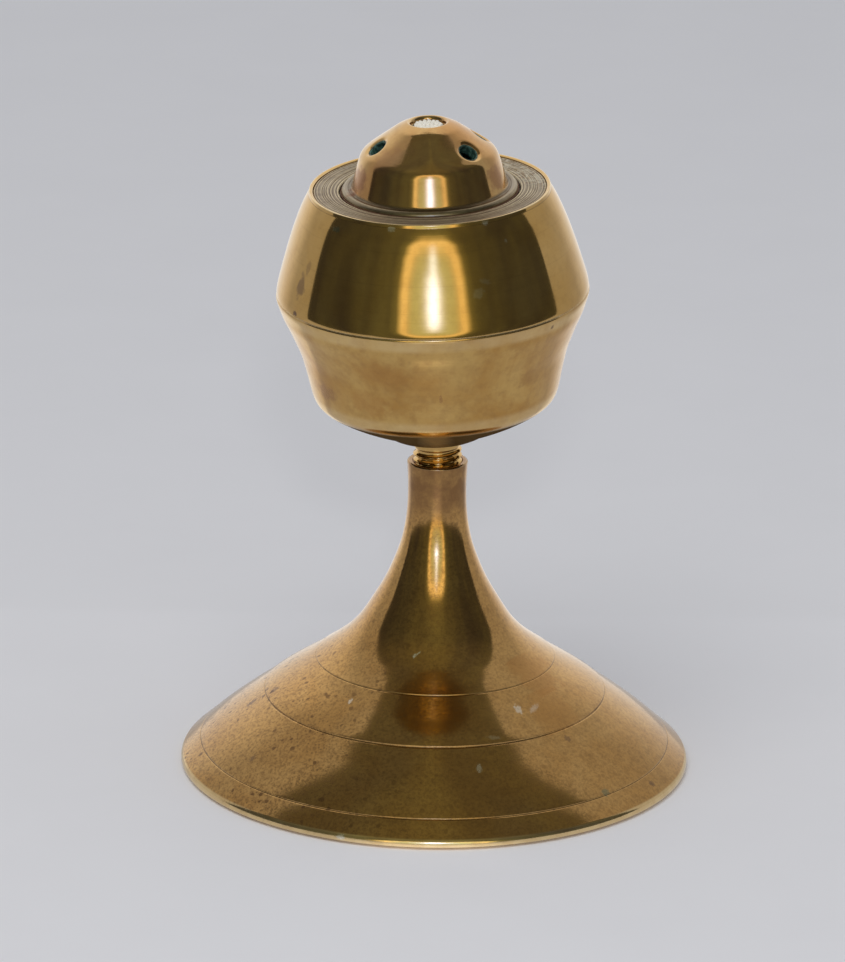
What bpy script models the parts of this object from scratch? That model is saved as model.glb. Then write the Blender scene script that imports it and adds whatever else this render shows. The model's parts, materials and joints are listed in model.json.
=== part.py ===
"""Small turned-brass alcohol burner: a trumpet foot with its stem, a fuel head
screwed into the top of the stem, and a perforated dome burner screwed into
the deck of the head.  Metres, +Z up, origin at the centre of the rest face;
front is -Y and right is +X.

Every turned piece is a radius/height profile swept by a Screw modifier.
Heights of the head pieces are measured along the head's own axis, which leans
a little from the stem because the stem's socket is tapped off square."""

import math

import bmesh
import bpy
from mathutils import Matrix, Vector

MM = 0.001

# ------------------------------------------------------------ driving dimensions (mm)
# Points are (radius, height).
SEG = 40                 # facets round a large turned piece
THREAD_SEG = 16          # facets round the spigot, its socket and their threads
CAP_THREAD_SEG = 24
WICK_SEG = 24
PORT_SEG = 14
VENT_SEG = 12

GAP = 0.05               # clearance between neighbouring pieces
WIDE_GAP = 0.1
EDGE_BREAK = 0.25        # broken edges of the stem mouth and burner flange
END_BREAK = 0.3          # broken ends of the collar, skirt and wick top
TIP_BREAK = 0.4          # broken edges of the spigot

# foot and stem
RIM_R = 37.15            # widest radius of the foot
RIM_SHOULDER = (36.55, 1.55)
LINE_3 = (34.3, 3.4)     # engraved line nearest the rim
LINE_2 = (25.0, 10.4)
LINE_1 = (17.6, 16.1)    # engraved line nearest the stem
STEM_R = 4.27
STEM_WAIST_Z = 41.5
COVE_HEIGHTS = (STEM_WAIST_Z, 37.0, 33.0, 29.5, 26.5, 23.8, 21.3, 19.2, 17.5)
MOUTH_R = 4.42
MOUTH_Z = 46.4
FOOT_WALL = 1.7
REST_FACE_INNER_R = 34.7
HOLLOW_TOP_Z = 23.5
HOLLOW_SPAN = (1.9, 21.5)  # heights between which the hollow follows the outside

# lean of the head on its socket
LEAN_PIVOT_Z = 46.6
LEAN_LEFT_DEG = 2.2      # towards -X
LEAN_FRONT_DEG = 1.2     # towards -Y

# threads
THREAD_GAP = 0.12        # radial gap between male and female threads
RIDGE_SINK = 0.3         # how far a ridge is rooted inside its core
FEMALE_LEAD = 2          # whole pitches a female thread starts below its male one

# threaded joint between head and stem
SPIGOT_MAJOR_R = 3.55
SPIGOT_CORE_R = 3.08
SPIGOT_PITCH = 0.9
SPIGOT_TIP_Z = 40.6
SPIGOT_THREAD_Z0 = 41.4
SPIGOT_TURNS = 7
SPIGOT_CORE_TOP_Z = 48.4
SPIGOT_FLANGE_R = 5.6
SPIGOT_FLANGE_TOP_Z = 53.0
SOCKET_FLOOR_Z = 37.8
SOCKET_OVERSHOOT = 2.0   # how far the socket cutter rises above the mouth
SOCKET_SPREAD = 0.07     # extra half-width of the female ridge
PAD_R = 2.9
PAD_T = 0.8

# fuel head
NECK_R = 3.6
UNDER_Z = 49.5           # where the underside meets the neck
FLOOR_Z = 51.9           # inner floor of the cup
CUP_HEEL = (16.6, 55.85)
CUP_BASE = (17.45, 56.6)
CUP_SIDE_FOOT = (17.62, 57.0)
BELLY_R = 22.7
SEAM_Z = 72.7
CUP_SIDE_TOP = (BELLY_R - 0.02, SEAM_Z - 1.1)
CUP_MOUTH_R = 21.45
CONE_FOOT = (22.6, 73.2)
LIP_BOTTOM_Z = 71.5      # the cone's lip reaches down inside the cup
DECK_Z = 88.0
RIM_TOP = (17.5, 88.2)
RIM_INNER_R = RIM_TOP[0] - 0.6
LEDGE_R = 16.2
LEDGE_Z = 86.5

# threaded joint between burner and head
CAP_MAJOR_R = 9.6
CAP_CORE_R = 9.0
CAP_PITCH = 1.25
CAP_THREAD_Z0 = 84.1
CAP_TURNS = 2
SKIRT_BOTTOM_Z = 83.2
COLLAR_R = 12.2
COLLAR_NECK_R = 10.6
COLLAR_BOTTOM_Z = 81.8
COLLAR_TURNS = 5
COLLAR_SPREAD = 0.1      # extra half-width of the female ridge
RECESS_R = 13.1
RECESS_FLOOR_Z = 87.2
GASKET_T = 0.6
GASKET_R = RECESS_R - 0.2
GASKET_HOLE_R = 9.95
GASKET_Z = RECESS_FLOOR_Z + GAP
SEAT_Z = GASKET_Z + GASKET_T + GAP
FLANGE_R = 12.75
FLANGE_TOP_Z = 88.5

# burner dome
DOME_FOOT_R = 11.0
DOME_TOP_Z = 98.2
SLOPE_TOP = (4.65, 97.3)
SLOPE_FOOT = (8.1, 94.95)
TOP_HOLE_R = 2.65
BORE_R = 8.2
BORE_TOP_Z = 91.4
PORT_R = 1.3
PORT_SINK_DEPTH = 0.25   # bottom of the countersink, below the port centre
PORT_CUT_DEPTH = 4.2
PORT_CUT_HEIGHT = 1.4    # the cutter's rise above the port centre
PORT_CUT_TOP_R = 2.8     # the countersinking cone's radius at that height
PORT_CENTRE = (7.75, 95.15)
PORT_PITCH_DEG = 58.75   # six places, the front one left undrilled
PORT_FIRST_DEG = 49.0    # from the front (-Y) towards the right (+X)
PORT_COUNT = 5

# wick
TUBE_R = 2.55
TUBE_BORE_R = 2.25
TUBE_BOTTOM_Z = 76.0
TUBE_TOP_Z = 97.5
WICK_R = 2.17
WICK_TOP_Z = 97.65
WICK_BOTTOM_Z = 57.0
WICK_FOOT_BREAK = 0.5
CARRIER_T = 1.2
CARRIER_Z = SKIRT_BOTTOM_Z + 0.2
VENT_R = 0.9
VENT_RING_R = 5.3
VENT_COUNT = 6
VENT_PHASE = 0.31        # start of the ring, as a share of one vent spacing
VENT_TWIST = 0.1         # each cutter's turn about its own axis, radians
VENT_OVERSHOOT = 1

# ------------------------------------------------------------ scene set-up
for old in list(bpy.data.objects):
    bpy.data.objects.remove(old, do_unlink=True)

PARTS = bpy.data.collections.new("alcohol_burner")
CUTTERS = bpy.data.collections.new("cutters")
for collection in (PARTS, CUTTERS):
    bpy.context.scene.collection.children.link(collection)


def material(name, colour, roughness, metallic):
    mat = bpy.data.materials.new(name)
    mat.use_nodes = True
    shader = mat.node_tree.nodes["Principled BSDF"]
    shader.inputs["Base Color"].default_value = (*colour, 1.0)
    shader.inputs["Roughness"].default_value = roughness
    shader.inputs["Metallic"].default_value = metallic
    mat.diffuse_color = (*colour, 1.0)
    return mat


FOOT_BRASS = material("foot_brass", colour=(0.56, 0.39, 0.17), roughness=0.22, metallic=1.0)
HEAD_BRASS = material("head_brass", colour=(0.60, 0.43, 0.19), roughness=0.18, metallic=1.0)
DECK_BRASS = material("deck_brass", colour=(0.42, 0.33, 0.20), roughness=0.38, metallic=1.0)
DOME_BRASS = material("dome_brass", colour=(0.58, 0.42, 0.20), roughness=0.20, metallic=1.0)
TUBE_BRASS = material("tube_brass", colour=(0.50, 0.38, 0.18), roughness=0.35, metallic=1.0)
COTTON = material("cotton", colour=(0.80, 0.77, 0.68), roughness=0.95, metallic=0.0)
FIBRE = material("fibre", colour=(0.23, 0.12, 0.07), roughness=0.85, metallic=0.0)


# ------------------------------------------------------------ curve helpers
def bezier(start, control, end, count):
    """Points of a quadratic curve from start (left out) to end (included)."""
    points = []
    for i in range(1, count + 1):
        t = i / count
        points.append(tuple((1 - t) ** 2 * a + 2 * t * (1 - t) * b + t * t * c
                            for a, b, c in zip(start, control, end)))
    return points


def bulged(start, end, height, count):
    """Points from start (left out) to end on a shallow arc that stands out by
    height, to the left of the way from start to end."""
    run, rise = end[0] - start[0], end[1] - start[1]
    length = math.hypot(run, rise)
    points = []
    for i in range(1, count + 1):
        t = i / count
        stand = height * 4 * t * (1 - t)
        points.append((start[0] + run * t - rise / length * stand,
                       start[1] + rise * t + run / length * stand))
    return points


def inset(points, wall):
    """The open profile moved inward, away from its outer side, by wall."""
    moved = []
    for i, (radius, z) in enumerate(points):
        before = points[max(i - 1, 0)]
        after = points[min(i + 1, len(points) - 1)]
        run, rise = after[0] - before[0], after[1] - before[1]
        length = math.hypot(run, rise)
        moved.append((radius + wall * rise / length, z - wall * run / length))
    return moved


# ------------------------------------------------------------ mesh helpers
def mesh_object(name, bm, home, parent):
    """Turn a bmesh into an object in its collection; cutters stay unrendered."""
    mesh = bpy.data.meshes.new(name)
    bm.to_mesh(mesh)
    bm.free()
    obj = bpy.data.objects.new(name, mesh)
    home.objects.link(obj)
    obj.parent = parent
    if home is CUTTERS:
        obj.hide_render = True
        obj.display_type = "WIRE"
    return obj


def turned(name, profile, mat=None, seg=SEG, home=PARTS, parent=None):
    """A turned piece.  The profile runs down the outer side at +X and back up
    the inner side; one that starts on the axis also ends there and stays open."""
    bm = bmesh.new()
    verts = [bm.verts.new((radius * MM, 0, z * MM)) for radius, z in profile]
    for a, b in zip(verts, verts[1:]):
        bm.edges.new((a, b))
    if profile[0][0] > 0:
        bm.edges.new((verts[-1], verts[0]))
    obj = mesh_object(name, bm, home, parent)
    screw = obj.modifiers.new("turn", "SCREW")
    screw.axis = "Z"
    screw.angle = math.tau
    screw.steps = seg
    screw.render_steps = seg
    screw.use_merge_vertices = True
    screw.merge_threshold = 0.000001
    screw.use_smooth_shade = True
    if mat is not None:
        obj.data.materials.append(mat)
    return obj


def rod_cutter(name, radius, z0, z1, seg, parent):
    """A cylinder between two heights on the axis."""
    bm = bmesh.new()
    bmesh.ops.create_cone(bm, cap_ends=True, segments=seg,
                          radius1=radius * MM, radius2=radius * MM, depth=(z1 - z0) * MM,
                          matrix=Matrix.Translation((0, 0, (z0 + z1) / 2 * MM)))
    return mesh_object(name, bm, CUTTERS, parent)


def thread_ridge(name, core, major, pitch, z0, turns, seg, parent, spread=0.0):
    """A helical ridge: one trapezoid carried round and up the axis from z0.
    Threads that start a whole number of pitches apart run in step."""
    root_half = 0.40 * pitch + spread
    tip_half = 0.06 * pitch + spread * 0.5
    outline = [(core - RIDGE_SINK, -root_half), (major, -tip_half),
               (major, tip_half), (core - RIDGE_SINK, root_half)]
    bm = bmesh.new()
    face = bm.faces.new([bm.verts.new((radius * MM, 0, (z0 + z) * MM)) for radius, z in outline])
    face.normal_update()
    bmesh.ops.spin(bm, geom=[face, *face.edges, *face.verts], cent=(0, 0, 0), axis=(0, 0, 1),
                   dvec=(0, 0, pitch * MM / seg), angle=math.tau * turns, steps=seg * turns)
    bmesh.ops.remove_doubles(bm, verts=bm.verts, dist=1e-7)
    bmesh.ops.recalc_face_normals(bm, faces=bm.faces)
    # half a facet round, so that its corners miss those of the round it joins
    bmesh.ops.rotate(bm, verts=bm.verts, cent=(0, 0, 0),
                     matrix=Matrix.Rotation(math.pi / seg, 3, "Z"))
    return mesh_object(name, bm, CUTTERS, parent)


def boolean(target, other, operation):
    mod = target.modifiers.new(operation.lower() + "_" + other.name, "BOOLEAN")
    mod.operation = operation
    mod.object = other
    mod.solver = "EXACT"


# ------------------------------------------------------------ the leaning axis
def make_axes():
    """Empties that carry the head and, on it, the burner."""
    direction = Vector((-math.sin(math.radians(LEAN_LEFT_DEG)),
                        -math.sin(math.radians(LEAN_FRONT_DEG)), 0.0))
    direction.z = math.sqrt(1.0 - direction.length_squared)
    head = bpy.data.objects.new("head_axis", None)
    PARTS.objects.link(head)
    head.rotation_mode = "QUATERNION"
    head.rotation_quaternion = Vector((0, 0, 1)).rotation_difference(direction)
    head.location = Vector((0, 0, LEAN_PIVOT_Z * MM)) - direction * (LEAN_PIVOT_Z * MM)
    burner = bpy.data.objects.new("burner_axis", None)
    PARTS.objects.link(burner)
    burner.parent = head
    return head, burner


head_axis, burner_axis = make_axes()


# ------------------------------------------------------------ foot and stem
def cove_radius(z):
    """The cove that sweeps from the uppermost engraved line into the stem."""
    t = 1 - (z - LINE_1[1]) / (STEM_WAIST_Z - LINE_1[1])
    return STEM_R + (LINE_1[0] - STEM_R) * (0.8 * t ** 2 + 0.2 * t ** 7)


def foot_outside():
    """Outer side of the foot, from the stem's mouth down to the rest face."""
    points = [(MOUTH_R - EDGE_BREAK, MOUTH_Z), (MOUTH_R, MOUTH_Z - EDGE_BREAK)]
    points += [(cove_radius(z), z) for z in COVE_HEIGHTS]
    points.append(LINE_1)
    points += bulged(LINE_1, LINE_2, height=0.15, count=2)
    points += bulged(LINE_2, LINE_3, height=0.5, count=3)
    points.append(RIM_SHOULDER)
    points += bezier(RIM_SHOULDER, (RIM_R + 0.1, 1.0), (RIM_R, 0.6), 2)
    points += [(RIM_R - 0.05, 0.3), (RIM_R - 0.5, 0.0)]
    return points


def foot_hollow(outside):
    """Underside of the foot, from the rest face up to the axis."""
    low, high = HOLLOW_SPAN
    wall = inset([point for point in outside if low < point[1] < high], FOOT_WALL)
    # both ends, and every other point between them
    wall = wall[:1] + wall[1:-1:2] + wall[-1:]
    top_r = wall[0][0]
    return [(REST_FACE_INNER_R, 0.0), (REST_FACE_INNER_R - 0.3, 1.0), *wall[::-1],
            (top_r - 2.6, HOLLOW_TOP_Z - 1.2), (top_r - 5.2, HOLLOW_TOP_Z), (0.0, HOLLOW_TOP_Z)]


def build_foot():
    outside = foot_outside()
    foot = turned("pedestal_foot", [(0.0, MOUTH_Z)] + outside + foot_hollow(outside), FOOT_BRASS)
    core_r = SPIGOT_CORE_R + THREAD_GAP
    socket = rod_cutter("socket_core", core_r, SOCKET_FLOOR_Z, MOUTH_Z + SOCKET_OVERSHOOT,
                        THREAD_SEG, head_axis)
    ridge = thread_ridge("socket_ridge", core=core_r, major=SPIGOT_MAJOR_R + THREAD_GAP,
                         pitch=SPIGOT_PITCH, z0=SPIGOT_THREAD_Z0 - FEMALE_LEAD * SPIGOT_PITCH,
                         turns=SPIGOT_TURNS + FEMALE_LEAD, seg=THREAD_SEG,
                         parent=head_axis, spread=SOCKET_SPREAD)
    boolean(socket, ridge, "UNION")
    boolean(foot, socket, "DIFFERENCE")


def build_socket_pad():
    bottom = SOCKET_FLOOR_Z + WIDE_GAP
    turned("socket_pad", [(0.0, bottom + PAD_T), (PAD_R, bottom + PAD_T),
                          (PAD_R, bottom), (0.0, bottom)],
           FIBRE, seg=THREAD_SEG, parent=head_axis)


# ------------------------------------------------------------ fuel head
def build_spigot():
    """Threaded spigot under the head, with a flange over the cup's floor."""
    flange_z = FLOOR_Z + WIDE_GAP
    neck_r = NECK_R - GAP
    spigot = turned("reservoir_spigot", [
        (0.0, SPIGOT_FLANGE_TOP_Z), (SPIGOT_FLANGE_R - TIP_BREAK, SPIGOT_FLANGE_TOP_Z),
        (SPIGOT_FLANGE_R, SPIGOT_FLANGE_TOP_Z - 0.3), (SPIGOT_FLANGE_R, flange_z),
        (neck_r, flange_z), (neck_r, UNDER_Z),
        (3.45, SPIGOT_CORE_TOP_Z + 0.35), (SPIGOT_CORE_R, SPIGOT_CORE_TOP_Z),
        (SPIGOT_CORE_R, SPIGOT_TIP_Z + TIP_BREAK), (SPIGOT_CORE_R - TIP_BREAK, SPIGOT_TIP_Z),
        (0.0, SPIGOT_TIP_Z)],
        HEAD_BRASS, seg=THREAD_SEG, parent=head_axis)
    ridge = thread_ridge("spigot_ridge", core=SPIGOT_CORE_R, major=SPIGOT_MAJOR_R,
                         pitch=SPIGOT_PITCH, z0=SPIGOT_THREAD_Z0, turns=SPIGOT_TURNS,
                         seg=THREAD_SEG, parent=head_axis)
    boolean(spigot, ridge, "UNION")


def build_cup():
    """Lower shell: belly edge, tapering side, rounded heel, shallow underside."""
    top_r, top_z = CUP_SIDE_TOP
    foot_r, foot_z = CUP_SIDE_FOOT
    heel_r, heel_z = CUP_HEEL
    hole_r, hole_z = NECK_R + WIDE_GAP, UNDER_Z + GAP
    outer = [(BELLY_R - 0.12, SEAM_Z - GAP), (BELLY_R, SEAM_Z - 0.6), CUP_SIDE_TOP]
    for i in range(1, 7):
        t = 1 - i / 6
        outer.append((foot_r + (top_r - foot_r) * (0.62 * t + 0.38 * t ** 2.2),
                      foot_z + (top_z - foot_z) * t))
    outer += bezier(outer[-1], CUP_BASE, CUP_HEEL, 2)
    outer += [(hole_r + (heel_r - hole_r) * t, hole_z + (heel_z - hole_z) * t ** 1.1)
              for t in (0.66, 0.33)]
    outer.append((hole_r, hole_z))
    inner = [(hole_r, FLOOR_Z), (6.2, FLOOR_Z), (10.5, 53.9), (16.2, 57.2), (17.3, 61.5),
             (19.4, 67.3), (21.4, 71.3), (CUP_MOUTH_R, SEAM_Z - GAP)]
    turned("reservoir_cup", outer + inner, HEAD_BRASS, parent=head_axis)


def cone_radius(z):
    """Upper shell: nearly straight, rounding over as it nears the belly."""
    t = (z - CONE_FOOT[1]) / (RIM_TOP[1] - CONE_FOOT[1])
    return CONE_FOOT[0] - (CONE_FOOT[0] - RIM_TOP[0]) * t ** 1.2


def build_cone():
    lip_r = CUP_MOUTH_R - WIDE_GAP
    outer = [(RIM_TOP[0] - 0.35, RIM_TOP[1] + 0.05), RIM_TOP]
    outer += [(cone_radius(z), z) for z in (85.0, 81.5, 78.0, 75.5, 74.0, CONE_FOOT[1])]
    outer += [(22.56, SEAM_Z + GAP), (lip_r, SEAM_Z + GAP), (lip_r, LIP_BOTTOM_Z)]
    inner = [(20.9, LIP_BOTTOM_Z), (21.2, 74.5), (18.6, 82.0), (16.6, 86.0), (LEDGE_R, 86.2),
             (LEDGE_R, LEDGE_Z), (RIM_INNER_R, LEDGE_Z), (RIM_INNER_R, RIM_TOP[1] - 0.05)]
    turned("reservoir_cone", outer + inner, HEAD_BRASS, parent=head_axis)


# ------------------------------------------------------------ deck, collar and gasket
def build_deck():
    deck_r = RIM_INNER_R - GAP
    hole_r = COLLAR_NECK_R + GAP
    bottom = LEDGE_Z + GAP
    turned("deck_plate", [
        (deck_r, DECK_Z - 0.05), (deck_r, bottom), (hole_r, bottom), (hole_r, RECESS_FLOOR_Z),
        (RECESS_R, RECESS_FLOOR_Z), (RECESS_R, DECK_Z - 0.15), (RECESS_R + 0.15, DECK_Z),
        (15.2, DECK_Z + 0.03)], DECK_BRASS, parent=head_axis)


def build_collar():
    """Internally threaded collar that takes the burner's skirt."""
    core_r = CAP_CORE_R + THREAD_GAP
    top = RECESS_FLOOR_Z - GAP
    collar = turned("filler_collar", [
        (COLLAR_NECK_R, top), (COLLAR_NECK_R, LEDGE_Z), (COLLAR_R, LEDGE_Z),
        (COLLAR_R, COLLAR_BOTTOM_Z + END_BREAK), (COLLAR_R - END_BREAK, COLLAR_BOTTOM_Z),
        (core_r, COLLAR_BOTTOM_Z), (core_r, top)],
        DECK_BRASS, seg=CAP_THREAD_SEG, parent=head_axis)
    ridge = thread_ridge("collar_ridge", core=core_r, major=CAP_MAJOR_R + THREAD_GAP,
                         pitch=CAP_PITCH, z0=CAP_THREAD_Z0 - FEMALE_LEAD * CAP_PITCH,
                         turns=COLLAR_TURNS, seg=CAP_THREAD_SEG,
                         parent=head_axis, spread=COLLAR_SPREAD)
    boolean(collar, ridge, "DIFFERENCE")


def build_gasket():
    top = GASKET_Z + GASKET_T
    turned("burner_gasket", [(GASKET_R, top), (GASKET_R, GASKET_Z),
                             (GASKET_HOLE_R, GASKET_Z), (GASKET_HOLE_R, top)],
           FIBRE, parent=head_axis)


# ------------------------------------------------------------ burner dome
def dome_profile():
    # outside, from the top hole down to the foot
    points = bezier((TOP_HOLE_R, DOME_TOP_Z - 0.2), (TOP_HOLE_R, DOME_TOP_Z),
                    (TOP_HOLE_R + 0.3, DOME_TOP_Z), 2)
    points += bezier(points[-1], (3.7, DOME_TOP_Z - 0.1), SLOPE_TOP, 2)
    points += [(6.4, 96.15), SLOPE_FOOT]
    points += bezier(SLOPE_FOOT, (10.05, 93.7), (10.55, 91.9), 4)
    points += [(DOME_FOOT_R - 0.08, 89.8), (DOME_FOOT_R + 0.05, 88.8),
               (DOME_FOOT_R + 0.5, FLANGE_TOP_Z - 0.12)]
    # flange and skirt
    points += [(FLANGE_R - EDGE_BREAK, FLANGE_TOP_Z), (FLANGE_R, FLANGE_TOP_Z - EDGE_BREAK),
               (FLANGE_R, SEAT_Z), (CAP_CORE_R, SEAT_Z),
               (CAP_CORE_R, SKIRT_BOTTOM_Z + END_BREAK),
               (CAP_CORE_R - END_BREAK, SKIRT_BOTTOM_Z), (BORE_R, SKIRT_BOTTOM_Z)]
    # inside, back up to the top hole
    bore_top = (BORE_R, BORE_TOP_Z)
    points.append(bore_top)
    points += bezier(bore_top, (7.9, 93.0), (6.6, 93.9), 3)
    points.append((TOP_HOLE_R, 96.3))
    return points


def drill_ports(dome):
    """Ports drilled square to the dome's slope, each with a soft countersink."""
    slope = math.atan2(SLOPE_TOP[1] - SLOPE_FOOT[1], SLOPE_FOOT[0] - SLOPE_TOP[0])
    up = Vector((0, 0, 1))
    profile = [(0.0, PORT_CUT_HEIGHT), (PORT_CUT_TOP_R, PORT_CUT_HEIGHT),
               (PORT_R, -PORT_SINK_DEPTH), (PORT_R, -PORT_CUT_DEPTH), (0.0, -PORT_CUT_DEPTH)]
    for i in range(PORT_COUNT):
        azimuth = math.radians(PORT_FIRST_DEG + PORT_PITCH_DEG * i)
        out = Vector((math.sin(azimuth), -math.cos(azimuth), 0.0))
        normal = (out * math.sin(slope) + up * math.cos(slope)).normalized()
        tool = turned(f"port_{i + 1}", profile, seg=PORT_SEG, home=CUTTERS, parent=burner_axis)
        tool.location = (out * PORT_CENTRE[0] + up * PORT_CENTRE[1]) * MM
        tool.rotation_mode = "QUATERNION"
        tool.rotation_quaternion = up.rotation_difference(normal)
        boolean(dome, tool, "DIFFERENCE")


def build_dome():
    dome = turned("burner_dome", dome_profile(), DOME_BRASS, parent=burner_axis)
    ridge = thread_ridge("cap_ridge", core=CAP_CORE_R, major=CAP_MAJOR_R, pitch=CAP_PITCH,
                         z0=CAP_THREAD_Z0, turns=CAP_TURNS, seg=CAP_THREAD_SEG,
                         parent=burner_axis)
    boolean(dome, ridge, "UNION")
    drill_ports(dome)


# ------------------------------------------------------------ wick carrier, tube and wick
def build_carrier():
    """Vented disc across the burner's bore, round the wick tube."""
    outer_r, hole_r = BORE_R - GAP, TUBE_R + GAP
    top = CARRIER_Z + CARRIER_T
    carrier = turned("wick_carrier", [(outer_r, top), (outer_r, CARRIER_Z),
                                      (hole_r, CARRIER_Z), (hole_r, top)],
                     TUBE_BRASS, parent=burner_axis)
    for i in range(VENT_COUNT):
        angle = math.tau * (i + VENT_PHASE) / VENT_COUNT
        vent = rod_cutter(f"vent_{i + 1}", VENT_R, CARRIER_Z - VENT_OVERSHOOT,
                          top + VENT_OVERSHOOT, VENT_SEG, burner_axis)
        vent.location = (VENT_RING_R * MM * math.cos(angle), VENT_RING_R * MM * math.sin(angle), 0)
        vent.rotation_euler.z = VENT_TWIST
        boolean(carrier, vent, "DIFFERENCE")


def build_tube():
    turned("wick_tube", [(TUBE_R, TUBE_TOP_Z), (TUBE_R, TUBE_BOTTOM_Z),
                         (TUBE_BORE_R, TUBE_BOTTOM_Z), (TUBE_BORE_R, TUBE_TOP_Z)],
           TUBE_BRASS, seg=WICK_SEG, parent=burner_axis)


def build_wick():
    turned("wick", [
        (0.0, WICK_TOP_Z), (WICK_R - END_BREAK, WICK_TOP_Z - 0.03),
        (WICK_R, WICK_TOP_Z - END_BREAK), (WICK_R, WICK_BOTTOM_Z + WICK_FOOT_BREAK),
        (WICK_R - WICK_FOOT_BREAK, WICK_BOTTOM_Z), (0.0, WICK_BOTTOM_Z)],
        COTTON, seg=WICK_SEG, parent=burner_axis)


# ------------------------------------------------------------ build
build_foot()
build_socket_pad()
build_spigot()
build_cup()
build_cone()
build_deck()
build_collar()
build_gasket()
build_dome()
build_carrier()
build_tube()
build_wick()

for obj in PARTS.objects:
    if obj.type == "MESH":
        obj.data.shade_smooth()
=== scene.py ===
"""Looks of an alcohol burner: a round foot and stem, carrying a reservoir head with a wick burner.

The foot stands on z = 0 about the world's z axis, and the head stands about its own turning axis.
The front is -y and the right is +x.  Outlines are in mm, as (radius, height) about a piece's axis;
materials, lights and the camera are in metres.
"""

import json
import math
from collections import namedtuple

import bmesh
import bpy
import numpy as np
from mathutils import Matrix, Vector


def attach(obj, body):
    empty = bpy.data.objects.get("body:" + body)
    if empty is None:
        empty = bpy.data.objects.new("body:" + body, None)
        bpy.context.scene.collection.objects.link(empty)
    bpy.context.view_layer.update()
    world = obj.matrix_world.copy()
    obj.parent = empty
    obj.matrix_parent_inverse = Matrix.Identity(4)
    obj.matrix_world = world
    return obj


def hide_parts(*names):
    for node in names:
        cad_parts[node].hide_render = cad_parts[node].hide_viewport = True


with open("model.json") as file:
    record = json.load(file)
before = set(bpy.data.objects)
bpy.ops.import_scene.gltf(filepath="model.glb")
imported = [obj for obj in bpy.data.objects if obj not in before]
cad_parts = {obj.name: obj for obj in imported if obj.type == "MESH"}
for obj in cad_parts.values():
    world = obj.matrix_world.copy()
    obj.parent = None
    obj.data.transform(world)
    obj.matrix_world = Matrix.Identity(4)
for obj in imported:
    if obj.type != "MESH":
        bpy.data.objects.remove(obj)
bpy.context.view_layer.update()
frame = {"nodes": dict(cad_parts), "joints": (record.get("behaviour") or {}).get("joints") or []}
MM = 0.001
SEGMENTS = 224        # faces round the main turned pieces

# ------------------------------------------------------------ the frame's axes and sizes
head_turn = next(joint for joint in frame["joints"] if joint["name"] == "head_turn")
AXIS = Vector(head_turn["axis"]).normalized()
PIVOT = Vector(head_turn["pos_m"])
HEAD = (Matrix.Translation(PIVOT - AXIS * PIVOT.z)
        @ Vector((0, 0, 1)).rotation_difference(AXIS).to_matrix().to_4x4())
FOOT = Matrix.Identity(4)

Extent = namedtuple("Extent", "low high radius")


def extent(node, home=HEAD):
    """How far a CAD piece reaches along and about an axis, in mm."""
    to_home = home.inverted()
    points = np.array([tuple(to_home @ v.co) for v in frame["nodes"][node].data.vertices]) / MM
    heights = points[:, 2]
    return Extent(heights.min(), heights.max(), np.hypot(points[:, 0], points[:, 1]).max())


FOOT_CAD = extent("pedestal_foot", FOOT)
PAD = extent("socket_pad")
SPIGOT = extent("reservoir_spigot")
COLLAR = extent("filler_collar")
GASKET = extent("burner_gasket")
DOME = extent("burner_dome")
CARRIER = extent("wick_carrier")
TUBE = extent("wick_tube")
WICK = extent("wick")

# the screw joint between spigot and socket (mm)
SCREW_PITCH = 0.9
SCREW_CREST = 46.9                # height of a crest at the front
# the screw joint between burner and filler collar (mm)
CAP_CORE, CAP_MAJOR = 9.0, 9.6    # root and crest radius
CAP_PITCH = 1.25
CAP_CREST = 84.4


# ------------------------------------------------------------ profile curves
def spline(points, steps=8):
    """A smooth curve through three or more points, with this many steps between each two."""
    p = np.array(points, float)
    gaps = np.hypot(*np.diff(p, axis=0).T)
    t = np.concatenate([[0], np.cumsum(np.sqrt(gaps) * np.sqrt(gaps.mean()))])
    tangent = np.zeros_like(p)
    for i in range(1, len(p) - 1):
        before, after = t[i] - t[i - 1], t[i + 1] - t[i]
        slope_in = (p[i] - p[i - 1]) / before
        slope_out = (p[i + 1] - p[i]) / after
        tangent[i] = (slope_in * after + slope_out * before) / (before + after)
    # end tangents follow the curve's bend
    tangent[0] = 2 * (p[1] - p[0]) / (t[1] - t[0]) - tangent[1]
    tangent[-1] = 2 * (p[-1] - p[-2]) / (t[-1] - t[-2]) - tangent[-2]
    curve = [p[0]]
    for i in range(len(p) - 1):
        width = t[i + 1] - t[i]
        for k in range(1, steps + 1):
            s = k / steps
            curve.append((2 * s**3 - 3 * s**2 + 1) * p[i]
                         + (s**3 - 2 * s**2 + s) * width * tangent[i]
                         + (-2 * s**3 + 3 * s**2) * p[i + 1]
                         + (s**3 - s**2) * width * tangent[i + 1])
    return np.array(curve)


def line(start, end, step):
    start, end = np.array(start, float), np.array(end, float)
    count = max(1, int(np.linalg.norm(end - start) / step))
    return start + (end - start) * np.linspace(0, 1, count + 1)[:, None]


def notch(start, end, depth, count=14):
    """A scribed line's section between its two lips."""
    start, end = np.array(start), np.array(end)
    along = (end - start) / np.linalg.norm(end - start)
    inward = np.array([along[1], -along[0]])
    s = np.linspace(0, 1, count)
    sunk = depth * np.sin(math.pi * s) ** 1.3
    return start + (end - start) * s[:, None] + inward * sunk[:, None]


def cut_end(curve, length):
    """The curve with this much of its length, at most 45 %, taken off its end."""
    pieces = np.hypot(*np.diff(curve, axis=0).T)
    total = pieces.sum()
    length = min(length, 0.45 * total)
    s = np.concatenate([[0], np.cumsum(pieces)])
    keep = s < total - length - 1e-6
    end = np.array([np.interp(total - length, s, curve[:, k]) for k in (0, 1)])
    return np.vstack([curve[keep], end])


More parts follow.
